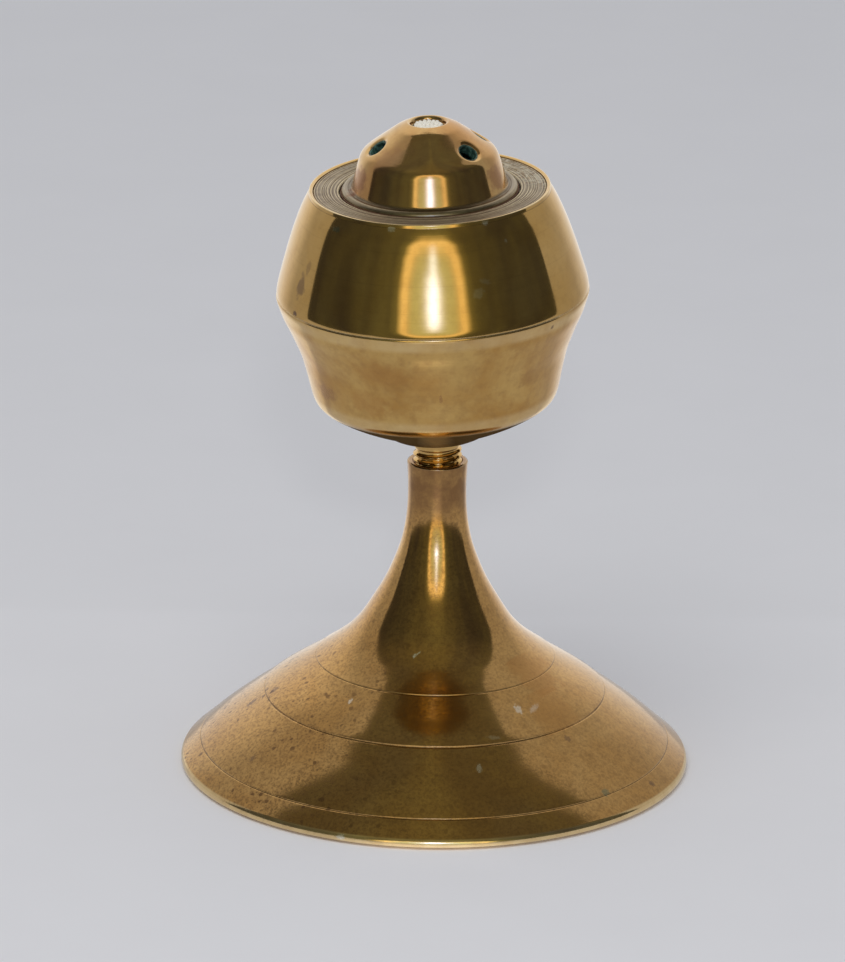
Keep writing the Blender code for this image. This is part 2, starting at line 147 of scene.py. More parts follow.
def joined(first, *rest):
    """Curves joined end to end.  Before each further curve stands its fillet's reach.
    A triple (radius, height, step) is a straight run on to that point."""
    path = np.array(first, float)
    end = path[-1]
    for reach, item in zip(rest[::2], rest[1::2]):
        if isinstance(item, tuple):
            curve = line(end, item[:2], item[2])
            end = item[:2]
        else:
            curve = item
            end = curve[-1]
        if reach > 0:
            corner = curve[0]
            path = cut_end(path, reach)
            curve = cut_end(curve[::-1], reach)[::-1]
            fillet = [((1 - s) ** 2) * path[-1] + 2 * s * (1 - s) * corner + s * s * curve[0]
                      for s in np.linspace(0, 1, 8)[1:-1]]
            path = np.vstack([path, fillet, curve])
        else:
            path = np.vstack([path, curve[1:]])
    return path


def ring_section(outer, inner, low, high, fillet, side_step, face_step):
    """The section of a plain flat-faced ring."""
    return joined(line((outer, high), (outer, low), side_step),
                  fillet, (inner, low, face_step),
                  fillet, (inner, high, side_step),
                  fillet, (outer, high, face_step))


def smooth_step(x, start, end):
    t = np.clip((x - start) / (end - start), 0, 1)
    return t * t * (3 - 2 * t)


def thread_wave(angle, z, pitch, crest, flat=0.16):
    """1 on a right-hand thread's crest, 0 in its root.  crest is a crest's height at the front."""
    phase = (z - crest) / pitch - (angle + math.pi / 2) / math.tau
    phase = np.abs(phase - np.round(phase)) * 2            # 0 on the crest, 1 in the root
    rise = np.clip((1 - phase - flat * 0.5) / (1 - flat), 0, 1)
    return rise * rise * (3 - 2 * rise) * 0.35 + rise * 0.65


# ------------------------------------------------------------ mesh makers
def add_object(name, data):
    obj = bpy.data.objects.new(name, data)
    bpy.context.scene.collection.objects.link(obj)
    return obj


def fit(obj, joint, node):
    """Tells the frame what a piece rides on and hides the CAD piece it stands for."""
    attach(obj, joint)
    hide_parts(node)


def polar(angle, radius, z):
    x_y_z = np.broadcast_arrays(radius * np.cos(angle), radius * np.sin(angle), z)
    return np.stack(x_y_z, -1)


def bend(profile, closed):
    """How sharply a profile turns at each point: above 0 on an edge, below 0 in a corner."""
    p = np.array(profile, float)
    if closed:
        padded = np.vstack([p[-3:], p, p[:3]])
    else:
        padded = np.vstack([p[:1]] * 3 + [p] + [p[-1:]] * 3)
    pieces = np.diff(padded, axis=0)
    length = np.maximum(np.hypot(*pieces.T), 1e-6)
    heading = np.unwrap(np.arctan2(pieces[:, 1], pieces[:, 0]))
    turn = -np.diff(heading) / np.maximum((length[1:] + length[:-1]) / 2, 0.06)
    turn = np.convolve(turn, [0.25, 0.5, 0.25], "same")
    following = np.roll(p, -1, axis=0)
    area = 0.5 * np.sum(p[:, 0] * following[:, 1] - following[:, 0] * p[:, 1])
    return (turn if area < 0 else -turn)[2:2 + len(p)]


def wall_faces(rows, around, loop=False):
    """Faces between rings of points; a loop joins the last ring to the first."""
    faces = []
    for i in range(rows if loop else rows - 1):
        this, after = i * around, ((i + 1) % rows) * around
        for k in range(around):
            m = (k + 1) % around
            faces.append((this + k, this + m, after + m, after + k))
    return faces


def fan_faces(rows, around):
    """Fans closing the first and last ring onto two centres that follow the rings."""
    faces = []
    first_centre, last_ring = rows * around, (rows - 1) * around
    for k in range(around):
        m = (k + 1) % around
        faces.append((first_centre, m, k))
        faces.append((first_centre + 1, last_ring + k, last_ring + m))
    return faces


def mesh_object(name, verts, faces, home, material, sharp=40.0, wear_and_painted_light=None):
    mesh = bpy.data.meshes.new(name)
    mesh.from_pydata((np.array(verts) * MM).tolist(), [], faces)
    if wear_and_painted_light is not None:
        values = np.clip(np.asarray(wear_and_painted_light, float) / 5.0, -1, 1)
        mesh.attributes.new("wear_and_painted_light", "FLOAT", "POINT").data.foreach_set("value", values)
    mesh.validate()
    bm = bmesh.new()
    bm.from_mesh(mesh)
    bmesh.ops.recalc_face_normals(bm, faces=bm.faces)
    if bm.calc_volume(signed=True) < 0:
        bmesh.ops.reverse_faces(bm, faces=bm.faces)
    bm.to_mesh(mesh)
    bm.free()
    mesh.shade_smooth()
    mesh.set_sharp_from_angle(angle=math.radians(sharp))
    obj = add_object(name, mesh)
    obj.matrix_world = home
    mesh.materials.append(material)
    return obj


def lathe(name, profile, material, closed=True, segments=SEGMENTS, change=None, sharp=40.0):
    """A solid turned about the head's axis.  An open profile starts and ends on the axis.
    change(angle, r, z) gives a new radius and height, for threads and marks."""
    p = np.array(profile, float)
    apart = np.concatenate([[True], np.hypot(*np.diff(p, axis=0).T) > 1e-4])
    p = p[apart]
    if closed and np.hypot(*(p[0] - p[-1])) < 1e-4:
        p = p[:-1]
    rings, wear_and_painted_light = (p, bend(p, True)) if closed else (p[1:-1], bend(p, False)[1:-1])
    rows = len(rings)
    r = np.repeat(rings[:, 0][:, None], segments, 1)
    z = np.repeat(rings[:, 1][:, None], segments, 1)
    angle = np.repeat((np.arange(segments) * math.tau / segments)[None, :], rows, 0)
    if change is not None:
        r, z = change(angle, r, z)
    verts = polar(angle, r, z).reshape(-1, 3)
    wear_and_painted_light = np.repeat(wear_and_painted_light, segments)
    faces = wall_faces(rows, segments, loop=closed)
    if not closed:
        verts = np.vstack([verts, [[0, 0, p[0, 1]], [0, 0, p[-1, 1]]]])
        wear_and_painted_light = np.concatenate([wear_and_painted_light, [0, 0]])
        faces += fan_faces(rows, segments)
    return mesh_object(name, verts, faces, HEAD, material, sharp, wear_and_painted_light)


def strand(points, radii, sides=9):
    """A tube of varying radius along a path, closed at both ends."""
    path = np.array(points, float)
    tangents = np.gradient(path, axis=0)
    tangents /= np.linalg.norm(tangents, axis=1)[:, None]
    level = abs(tangents[0][2]) < 0.9
    reference = np.array([0, 0, 1.0]) if level else np.array([1.0, 0, 0])
    verts = []
    for centre, tangent, radius in zip(path, tangents, radii):
        u = np.cross(tangent, reference)
        u /= np.linalg.norm(u)
        v = np.cross(tangent, u)
        for k in range(sides):
            a = math.tau * k / sides
            verts.append(centre + radius * (u * math.cos(a) + v * math.sin(a)))
    faces = wall_faces(len(path), sides)
    faces.append(tuple(range(sides)))
    faces.append(tuple(range((len(path) - 1) * sides, len(path) * sides))[::-1])
    return verts, faces


def drill(obj, name, radius, depth, sides, places):
    """Cuts a round hole through the object at each place."""
    cutters = []
    for i, place in enumerate(places):
        mesh = bpy.data.meshes.new(name)
        bm = bmesh.new()
        bmesh.ops.create_cone(bm, cap_ends=True, segments=sides,
                              radius1=radius * MM, radius2=radius * MM, depth=depth * MM)
        bm.to_mesh(mesh)
        bm.free()
        cutter = add_object(f"{name}_{i}", mesh)
        cutter.matrix_world = place
        cutters.append(cutter)
    bpy.context.view_layer.update()
    for cutter in cutters:
        modifier = obj.modifiers.new(name, "BOOLEAN")
        modifier.operation = "DIFFERENCE"
        modifier.object = cutter
        modifier.solver = "EXACT"
    bpy.context.view_layer.update()
    depsgraph = bpy.context.evaluated_depsgraph_get()
    cut = bpy.data.meshes.new_from_object(obj.evaluated_get(depsgraph))
    obj.modifiers.clear()
    obj.data = cut
    cut.shade_smooth()
    cut.set_sharp_from_angle(angle=math.radians(38))
    for cutter in cutters:
        bpy.data.objects.remove(cutter, do_unlink=True)


# ------------------------------------------------------------ node helpers
class Nodes:
    """Builds a node tree.  Values may be sockets, numbers or (red, green, blue)."""

    def __init__(self, tree):
        self.tree = tree
        tree.nodes.clear()

    def new(self, kind, **props):
        node = self.tree.nodes.new(kind)
        for key, value in props.items():
            setattr(node, key, value)
        return node

    def set(self, socket, value):
        if isinstance(value, bpy.types.NodeSocket):
            self.tree.links.new(value, socket)
        elif isinstance(value, tuple):
            socket.default_value = (*value, 1.0)
        else:
            socket.default_value = value

    def math(self, op, a, b=0.0, c=None, clamp=False):
        node = self.new("ShaderNodeMath", operation=op, use_clamp=clamp)
        self.set(node.inputs[0], a)
        self.set(node.inputs[1], b)
        if c is not None:
            self.set(node.inputs[2], c)
        return node.outputs[0]

    def plus(self, a, b):
        return self.math("ADD", a, b)

    def minus(self, a, b):
        return self.math("SUBTRACT", a, b)

    def times(self, first, *factors):
        for factor in factors:
            first = self.math("MULTIPLY", first, factor)
        return first

    def over(self, a, b):
        return self.math("DIVIDE", a, b)

    def size(self, a):
        return self.math("ABSOLUTE", a)

    def square_sum(self, a, b):
        return self.plus(self.times(a, a), self.times(b, b))

    def hypot(self, a, b):
        return self.math("SQRT", self.square_sum(a, b))

    def azimuth(self, x, y):
        """The angle from the front, growing to the right, in radians."""
        return self.math("ARCTAN2", x, self.times(y, -1.0))

    def mix(self, amount, a, b, blend="MIX"):
        node = self.new("ShaderNodeMix", data_type="RGBA", blend_type=blend)
        for i, value in ((0, amount), (6, a), (7, b)):
            self.set(node.inputs[i], value)
        return node.outputs[2]

    def glow(self, amount, colour):
        """From black to the colour."""
        return self.mix(amount, (0.0, 0.0, 0.0), colour)

    def add_colours(self, a, b):
        return self.mix(1.0, a, b, "ADD")

    def mapped(self, value, start, end, low=0.0, high=1.0, curve="LINEAR"):
        """low where the value is at start, high where it is at end."""
        node = self.new("ShaderNodeMapRange", interpolation_type=curve)
        node.clamp = True
        for socket, number in zip(node.inputs[:5], (value, start, end, low, high)):
            self.set(socket, number)
        return node.outputs[0]

    def fade(self, value, start, end, low=0.0, high=1.0, unit=1.0):
        """As mapped, but eased at both ends; start and end are in the given unit."""
        return self.mapped(value, start * unit, end * unit, low, high, "SMOOTHSTEP")

    def ramp(self, fac, stops):
        node = self.new("ShaderNodeValToRGB")
        node.color_ramp.interpolation = "LINEAR"
        elements = node.color_ramp.elements
        while len(elements) > 1:
            elements.remove(elements[-1])
        for i, (at, colour) in enumerate(stops):
            element = elements[0] if i == 0 else elements.new(at)
            element.position = at
            element.color = (*colour, 1.0)
        self.set(node.inputs[0], fac)
        return node.outputs[0]

    def noise(self, vec, scale, detail=3.0, rough=0.55, distort=0.0):
        node = self.new("ShaderNodeTexNoise")
        self.set(node.inputs["Vector"], vec)
        node.inputs["Scale"].default_value = scale
        node.inputs["Detail"].default_value = detail
        node.inputs["Roughness"].default_value = rough
        node.inputs["Distortion"].default_value = distort
        return node.outputs["Fac"]

    def voronoi(self, vec, scale):
        node = self.new("ShaderNodeTexVoronoi")
        self.set(node.inputs["Vector"], vec)
        node.inputs["Scale"].default_value = scale
        return node.outputs["Distance"]

    def combine(self, x, y, z):
        node = self.new("ShaderNodeCombineXYZ")
        for socket, value in zip(node.inputs, (x, y, z)):
            self.set(socket, value)
        return node.outputs[0]

    def split(self, vec):
        node = self.new("ShaderNodeSeparateXYZ")
        self.set(node.inputs[0], vec)
        return node.outputs

    def object_coord(self):
        return self.new("ShaderNodeTexCoord").outputs["Object"]

    def attribute(self, name):
        node = self.new("ShaderNodeAttribute", attribute_type="GEOMETRY", attribute_name=name)
        return node.outputs["Fac"]

    def bump(self, height, strength, distance, normal=None):
        """distance is in mm."""
        node = self.new("ShaderNodeBump")
        node.inputs["Strength"].default_value = strength
        node.inputs["Distance"].default_value = distance * MM
        self.set(node.inputs["Height"], height)
        if normal is not None:
            self.set(node.inputs["Normal"], normal)
        return node.outputs[0]

    def principled(self, **inputs):
        """Inputs are named by socket, with _ for a space."""
        node = self.new("ShaderNodeBsdfPrincipled")
        for name, value in inputs.items():
            self.set(node.inputs[name.replace("_", " ")], value)
        return node


class Material(Nodes):
    def __init__(self, name):
        self.material = bpy.data.materials.new(name)
        self.material.use_nodes = True
        super().__init__(self.material.node_tree)

    def finish(self, shader):
        out = self.new("ShaderNodeOutputMaterial")
        self.tree.links.new(shader.outputs[0], out.inputs[0])
        return self.material


# ------------------------------------------------------------ brass
class Brass(Material):
    """Turned, polished, aged brass in the piece's own axis frame, built up in layers.

    cloud is the strength of the fine mottling, turning that of the marks left by turning,
    and rings that of extra, coarser ones; ring_scale is how closely they lie."""

    def __init__(self, name, colour, warm, dark, rough, cloud, turning,
                 rings=0.0, ring_scale=5200.0):
        super().__init__(name)
        self.dark = dark
        self.turning, self.rings, self.ring_scale = turning, rings, ring_scale
        self.metal = self.specular = self.spots = None
        self.coord = self.object_coord()
        self.x, self.y, self.z = self.split(self.coord)
        self.r = self.hypot(self.x, self.y)
        self.turned = self.combine(self.r, 0.0, self.z)

        # broad clouds of warmer metal, finer mottling, turning streaks
        broad = self.noise(self.coord, 90.0, detail=4.0, rough=0.6, distort=0.6)
        fine = self.noise(self.coord, 620.0, detail=5.0, rough=0.65)
        base = self.mix(self.fade(broad, 0.35, 0.68), colour, warm)
        base = self.mix(self.times(self.mapped(fine, 0.45, 0.75), cloud * 0.55), base, dark)
        streak = self.noise(self.turned, ring_scale, detail=2.0, rough=0.5)
        streak = self.times(self.mapped(streak, 0.55, 0.8), 0.25 * turning + 0.35 * rings)
        self.base = self.mix(streak, base, dark)
        cloudy = self.plus(self.times(self.mapped(broad, 0.3, 0.7), 0.05), rough)
        mottled = self.times(self.mapped(fine, 0.4, 0.8), 0.06 * cloud)
        self.rough = self.plus(cloudy, mottled)

    def coat(self, mask, tint, cover=None, dull=None, nonmetal=None):
        """Tints the masked part; dull adds roughness and nonmetal takes metal away."""
        amount = mask if cover is None else self.times(mask, cover)
        self.base = self.mix(amount, self.base, tint)
        if dull is not None:
            self.rough = self.plus(self.rough, self.times(mask, dull))
        if nonmetal is not None:
            self.metal = self.minus(1.0, self.times(mask, nonmetal))

    def tarnish(self, strength):
        """A fine brown grain all over, pin-head spots in patches, thicker on the left."""
        coord = self.coord
        left = self.fade(self.x, 6, -26, low=0.35, high=1.0, unit=MM)
        patch = self.noise(coord, 95.0, rough=0.6, distort=0.4)
        patch = self.times(self.fade(patch, 0.30, 0.55), left)
        size = self.mapped(self.noise(coord, 900.0, detail=2.0), 0.35, 0.70, low=0.04, high=0.34)
        big = self.mapped(self.minus(self.voronoi(coord, 620.0), size), 0.05, -0.05)
        small = self.mapped(self.minus(self.voronoi(coord, 1500.0), 0.24), 0.06, -0.06)
        grain = self.fade(self.noise(coord, 2100.0, detail=4.0, rough=0.75), 0.42, 0.66)
        dots = self.math("MAXIMUM", self.times(big, patch), self.times(small, patch, 0.75))
        grain = self.times(grain, self.math("MULTIPLY_ADD", left, 0.38, 0.26))
        self.spots = self.times(self.math("MAXIMUM", dots, grain), strength)
        self.coat(self.spots, self.dark, dull=0.16)

    def brown_top(self, low, high, tint):
        """Browner metal, coming in between two heights in mm."""
        mask = self.fade(self.z, low, high, unit=MM)
        mottle = self.noise(self.coord, 500.0, rough=0.6)
        self.coat(mask, tint, cover=self.mapped(mottle, 0.25, 0.6, low=0.45))

    def residue(self, strength):
        """A pale crust at the back and the back right."""
        toward = self.plus(self.times(self.x, 0.8), self.times(self.y, 0.75))
        back_right = self.fade(toward, 9.5, 14.0, unit=MM)
        back = self.times(self.fade(self.y, 7.0, 12.0, unit=MM), 0.7)
        where = self.math("MAXIMUM", back_right, back)
        grain = self.noise(self.coord, 950.0, detail=6.0, rough=0.75, distort=0.5)
        crust = self.times(where, self.fade(grain, 0.47, 0.55), strength)
        self.coat(crust, (0.62, 0.56, 0.44), dull=0.5, nonmetal=0.9)

    def verdigris(self, strength):
        """Green where the mesh's port attribute says."""
        ragged = self.times(self.minus(self.noise(self.coord, 1100.0, detail=4.0), 0.5), 0.5)
        mask = self.fade(self.plus(self.attribute("port"), ragged), 0.35, 0.75)
        mask = self.times(mask, strength)
        green = self.mix(self.mapped(self.noise(self.coord, 1900.0), 0.42, 0.66),
                         (0.010, 0.034, 0.027), (0.075, 0.17, 0.135))
        self.coat(mask, green, dull=0.45, nonmetal=0.85)

    def flange(self, start, end):
        """Dull and ringed outside these radii in mm."""
        mask = self.fade(self.r, start, end, unit=MM)
        ringed = self.mix(self.mapped(self.noise(self.turned, 2600.0, detail=2.0), 0.35, 0.7),
                          (0.30, 0.235, 0.155), (0.11, 0.085, 0.055))
        self.coat(mask, ringed, dull=0.20)

    def wear_and_painted_light(self, edge=0.62):
        """Edges paler, partly rubbed wear and partly a painted edge highlight; corners dull and
        dark, a painted shade in the creases.
        """
        bent = self.attribute("wear_and_painted_light")
        patchy = self.mapped(self.noise(self.coord, 700.0), 0.3, 0.6, low=0.45)
        # rubbed wear with a painted highlight on the edges
        worn_and_lit = self.times(self.fade(bent, 0.12, 0.7), patchy)
        self.coat(worn_and_lit, (0.93, 0.80, 0.54), cover=edge, dull=0.10)
        # painted shade in corners and creases
        crease_shade = self.times(self.fade(bent, -0.12, -0.6), patchy)
        self.coat(crease_shade, (0.11, 0.065, 0.03), cover=0.65, dull=0.22)

    def painted_rim_reflection(self, start, end, height):
        """Painted reflection of the floor on the bottom edge: pale beyond these radii and below
        this height, in mm.
        """
        mask = self.times(self.fade(self.r, start, end, unit=MM),
                          self.fade(self.z, height, height * 0.8, unit=MM))
        cover = self.mapped(self.noise(self.coord, 420.0), 0.3, 0.6, low=0.6, high=0.9)
        self.coat(mask, (0.92, 0.70, 0.38), cover=cover)

    def band(self, middle, half, amount):
        """Paler round a height, this far to either side, in mm."""
        away = self.size(self.minus(self.z, middle * MM))
        mask = self.fade(away, half, half * 0.3, unit=MM)
        patchy = self.mapped(self.noise(self.coord, 300.0, detail=4.0), 0.3, 0.65, low=0.5)
        self.coat(self.times(mask, patchy), (0.90, 0.70, 0.38), cover=amount)

    def painted_underside_shade(self, inner, outer, top):
        """Painted shade under the bowl: dark, dull brown with little metal or gloss inside these
        radii and below the top, in mm, a little less dark in a narrow strip at x = 0, standing in
        for the dark reflection there.
        """
        under = self.times(self.fade(self.r, outer, inner, unit=MM),
                           self.math("LESS_THAN", self.z, top * MM))
        # painted reflection: the narrow strip at x = 0 keeps some of the warm light
        mask = self.times(under, self.fade(self.size(self.x), 0.4, 2.8, low=0.62, unit=MM))
        self.coat(mask, (0.070, 0.040, 0.014), cover=0.94, dull=0.34, nonmetal=0.94)
        self.specular = self.times(self.minus(1.0, mask), 0.5)

    def knocks(self, table):
        """Knocks and stains, each round a point on the skin."""
        for azimuth, radius, height, size, stretch, tilt, tint, strength in table:
            a, tilt = math.radians(azimuth), math.radians(tilt)
            offset = self.new("ShaderNodeVectorMath", operation="SUBTRACT")
            self.set(offset.inputs[0], self.coord)
            offset.inputs[1].default_value = (radius * math.sin(a) * MM,
                                              -radius * math.cos(a) * MM, height * MM)
            dx, dy, dz = self.split(offset.outputs[0])
            across = self.plus(self.times(dx, math.cos(a)), self.times(dy, math.sin(a)))
            u = self.plus(self.times(across, math.cos(tilt)), self.times(dz, math.sin(tilt)))
            v = self.minus(self.times(dz, math.cos(tilt)), self.times(across, math.sin(tilt)))
            depth = self.plus(self.times(dx, math.sin(a)), self.times(dy, -math.cos(a)))
            far = self.hypot(self.over(u, size * stretch * MM), self.over(v, size * MM))
            ragged = self.minus(self.noise(self.coord, 1500.0 / max(size, 0.4)), 0.5)
            far = self.plus(far, self.times(ragged, 1.6))
            at_skin = self.math("LESS_THAN", self.size(depth), 3 * MM)
            self.coat(self.times(self.fade(far, 1.0, 0.45), at_skin, strength), tint, dull=0.22)

    def polish(self, aniso):
        """Marks round the axis, a slight unevenness, then the finished material."""
        marks = self.noise(self.turned, self.ring_scale, rough=0.6)
        coarse = self.noise(self.turned, 1500.0, detail=2.0, rough=0.5)
        uneven = self.noise(self.coord, 160.0, detail=2.0, rough=0.5)
        normal = self.bump(marks, 0.5 * self.turning + self.rings, 0.006)
        normal = self.bump(coarse, 0.35 * self.turning + self.rings,
                           0.05 if self.rings else 0.012, normal)
        normal = self.bump(uneven, 0.25, 0.06, normal)
        if self.spots is not None:
            normal = self.bump(self.spots, 0.5, 0.004, normal)
        tangent = self.new("ShaderNodeTangent", direction_type="RADIAL", axis="Z")
        bsdf = self.principled(Base_Color=self.base, Roughness=self.rough, Metallic=1.0,
                               Anisotropic=aniso, Anisotropic_Rotation=0.25,
                               Tangent=tangent.outputs[0], Normal=normal)
        if self.metal is not None:
            self.set(bsdf.inputs["Metallic"], self.metal)
        if self.specular is not None:
            self.set(bsdf.inputs["Specular IOR Level"], self.specular)
        return self.finish(bsdf)


PALE, STAIN, GREEN = (0.95, 0.90, 0.78), (0.17, 0.10, 0.07), (0.10, 0.20, 0.15)
RUST, AMBER = (0.34, 0.17, 0.08), (0.50, 0.25, 0.08)
BROWN = (0.20, 0.105, 0.045)
# knocks: degrees from the front to the right, radius, height and size in mm,
# stretch along the tilted axis, tilt in degrees, tint, strength
FOOT_KNOCKS = [
    (-14.0, 12.7, 20.3, 0.32, 1.0, 0, PALE, 1.0), (-12.0, 12.4, 20.6, 0.12, 6.0, 35, PALE, 0.8),
    (36.0, 20.6, 14.0, 0.55, 1.3, 0, PALE, 0.5), (43.0, 21.0, 13.7, 0.30, 5.0, 12, PALE, 0.35),
    (13.5, 27.9, 8.7, 0.55, 1.0, 0, PALE, 0.55), (-21.0, 37.1, 0.7, 0.55, 1.6, 0, PALE, 0.8),
    (-84.0, 26.8, 9.4, 0.75, 1.0, 0, STAIN, 0.75), (-80.0, 23.8, 11.9, 0.6, 1.2, 0, STAIN, 0.6),
    (-57.0, 31.3, 6.0, 0.5, 1.0, 0, STAIN, 0.6), (63.5, 35.4, 2.4, 0.5, 1.4, 0, STAIN, 0.6),
    (47.0, 34.0, 3.7, 0.5, 1.8, 0, GREEN, 0.5), (47.5, 26.2, 9.9, 0.5, 1.4, 0, STAIN, 0.5),
    (-38.0, 20.0, 14.5, 0.35, 1.0, 0, PALE, 0.5), (21.0, 24.0, 11.7, 0.25, 5.0, -5, PALE, 0.25),
    (58.0, 17.0, 16.6, 5.5, 1.0, 0, (0.46, 0.22, 0.065), 0.5),
    (50.0, 22.0, 13.0, 4.5, 1.2, 0, (0.50, 0.25, 0.075), 0.4)]
CONE_KNOCKS = [
    (-60.5, 21.4, 77.2, 2.2, 0.55, 0, STAIN, 0.60), (-58.0, 20.6, 80.0, 1.2, 0.6, 0, STAIN, 0.35),
    (-61.0, 22.5, 73.2, 0.45, 1.6, 0, STAIN, 0.9), (-47.0, 18.3, 86.3, 0.5, 2.2, 5, GREEN, 0.6),
    (19.0, 21.0, 78.7, 0.9, 1.2, 30, PALE, 0.22), (22.0, 20.5, 80.2, 0.5, 2.0, -20, PALE, 0.18),
    (-18.0, 17.6, 87.6, 0.45, 1.6, 0, PALE, 0.55), (27.0, 17.5, 87.8, 0.4, 1.5, 0, PALE, 0.6),
    (35.0, 18.9, 85.0, 0.3, 1.0, 0, PALE, 0.4)]
CUP_KNOCKS = [
    (-58.0, 18.5, 60.6, 1.8, 1.5, 10, RUST, 0.5), (3.0, 19.0, 62.5, 0.8, 0.4, 0, RUST, 0.5),
    (46.0, 19.4, 63.5, 1.6, 1.8, 0, (0.40, 0.21, 0.08), 0.4),
    (-30.0, 18.6, 61.0, 2.4, 1.5, 0, AMBER, 0.35), (50.0, 22.4, 71.4, 0.4, 1.0, 0, STAIN, 0.7),
    (-20.0, 20.5, 66.5, 2.6, 2.0, 0, AMBER, 0.3)]
DOME_KNOCKS = [
    (-72.0, 11.0, 90.6, 2.6, 1.3, 20, (0.30, 0.13, 0.07), 0.70),
    (66.0, 11.0, 90.8, 2.4, 1.2, -20, (0.32, 0.15, 0.08), 0.60),
    (-42.0, 8.6, 94.4, 2.2, 1.5, 30, (0.42, 0.22, 0.12), 0.42),
    (30.0, 6.0, 96.4, 1.2, 1.0, 0, (0.30, 0.17, 0.09), 0.35)]


def foot_brass():
    brass = Brass("foot_brass", colour=(0.66, 0.40, 0.15), warm=(0.60, 0.34, 0.115), dark=BROWN,
                  rough=0.065, cloud=0.55, turning=0.6)
    brass.tarnish(strength=0.95)
    brass.brown_top(low=36.5, high=42.0, tint=(0.29, 0.155, 0.065))
    brass.wear_and_painted_light(edge=0.22)
    # painted reflection of the floor on the foot's bottom edge
    brass.painted_rim_reflection(start=36.6, end=36.86, height=1.36)
    brass.knocks(FOOT_KNOCKS)
    return brass.polish(aniso=0.3)


def cone_brass():
    brass = Brass("cone_brass", colour=(0.68, 0.44, 0.165), warm=(0.62, 0.38, 0.125), dark=BROWN,
                  rough=0.055, cloud=0.3, turning=0.55)
    # edges much paler here: a painted highlight along the lip, with rubbed wear
    brass.wear_and_painted_light(edge=0.85)
    brass.knocks(CONE_KNOCKS)
    return brass.polish(aniso=0.3)


def cup_brass():
    brass = Brass("cup_brass", colour=(0.68, 0.44, 0.155), warm=(0.54, 0.30, 0.09),
                  dark=(0.36, 0.19, 0.075), rough=0.12, cloud=0.8, turning=0.5)
    brass.wear_and_painted_light()
    brass.band(middle=71.6, half=1.4, amount=0.45)
    brass.band(middle=57.2, half=1.5, amount=0.42)
    # painted shade under the bowl
    brass.painted_underside_shade(inner=16.4, outer=17.2, top=56.2)
    brass.knocks(CUP_KNOCKS)
    return brass.polish(aniso=0.2)


def deck_brass():
    brass = Brass("deck_brass", colour=(0.31, 0.245, 0.165), warm=(0.25, 0.18, 0.12),
                  dark=(0.085, 0.06, 0.04), rough=0.40, cloud=0.8, turning=0.6,
                  rings=0.9, ring_scale=2600.0)
    brass.residue(strength=0.95)
    brass.wear_and_painted_light()
    return brass.polish(aniso=0.5)


def dome_brass():
    brass = Brass("dome_brass", colour=(0.64, 0.42, 0.18), warm=(0.56, 0.31, 0.12), dark=BROWN,
                  rough=0.07, cloud=0.45, turning=0.4)
    brass.verdigris(strength=1.0)
    brass.flange(start=11.22, end=11.42)
    brass.wear_and_painted_light()
    brass.knocks(DOME_KNOCKS)
    return brass.polish(aniso=0.3)


def tube_brass():
    brass = Brass("tube_brass", colour=(0.50, 0.36, 0.17), warm=(0.42, 0.28, 0.12),
                  dark=(0.12, 0.07, 0.03), rough=0.34, cloud=0.9, turning=0.2)
    brass.wear_and_painted_light()
    return brass.polish(aniso=0.2)


# ------------------------------------------------------------ cotton and fibre
def fibrous(name, colour, second, rough, scale, bump, depth, sheen=0.0):
    """Two colours mottled finely and broadly; depth is the bump's, in mm."""
    n = Material(name)
    coord = n.object_coord()
    fine = n.noise(coord, scale, detail=5.0, rough=0.65, distort=0.3)
    broad = n.noise(coord, scale * 0.12, detail=2.0)
    tint = n.mix(n.mapped(fine, 0.35, 0.7), colour, second)
    tint = n.mix(n.times(n.mapped(broad, 0.5, 0.75), 0.3), tint, second)
    roughness = n.mapped(fine, 0.2, 0.8, low=rough - 0.08, high=min(1.0, rough + 0.08))
    return n.finish(n.principled(Base_Color=tint, Roughness=roughness, Sheen_Weight=sheen,
                                 Normal=n.bump(fine, bump, depth)))


FOOT_BRASS = foot_brass()
CONE_BRASS = cone_brass()
CUP_BRASS = cup_brass()
DECK_BRASS = deck_brass()
DOME_BRASS = dome_brass()
TUBE_BRASS = tube_brass()
COTTON = fibrous("wick_cotton", (0.95, 0.92, 0.82), (0.86, 0.81, 0.68), rough=0.92, scale=2600.0,
                 bump=0.5, depth=0.08, sheen=0.4)
FIBRE = fibrous("fibre_washer", (0.20, 0.10, 0.06), (0.10, 0.05, 0.03), rough=0.8, scale=1800.0,
                bump=0.4, depth=0.05)

# ------------------------------------------------------------ foot and stem
MOUTH = 46.4                                 # the stem's top
FOOT_RADIUS = 37.15
SOCKET_CORE, SOCKET_MAJOR = 3.2, 3.67        # root and crest radius of the threaded socket
SOCKET_MOUTH_RADIUS = 3.72
SOCKET_FLOOR = 37.8
# upper and lower lips of the three scribed lines
UPPER_1, UPPER_2, UPPER_3 = (17.43, 16.29), (24.86, 11.12), (34.24, 3.54)
LOWER_1, LOWER_2, LOWER_3 = (17.60, 16.07), (25.08, 10.78), (34.44, 3.27)


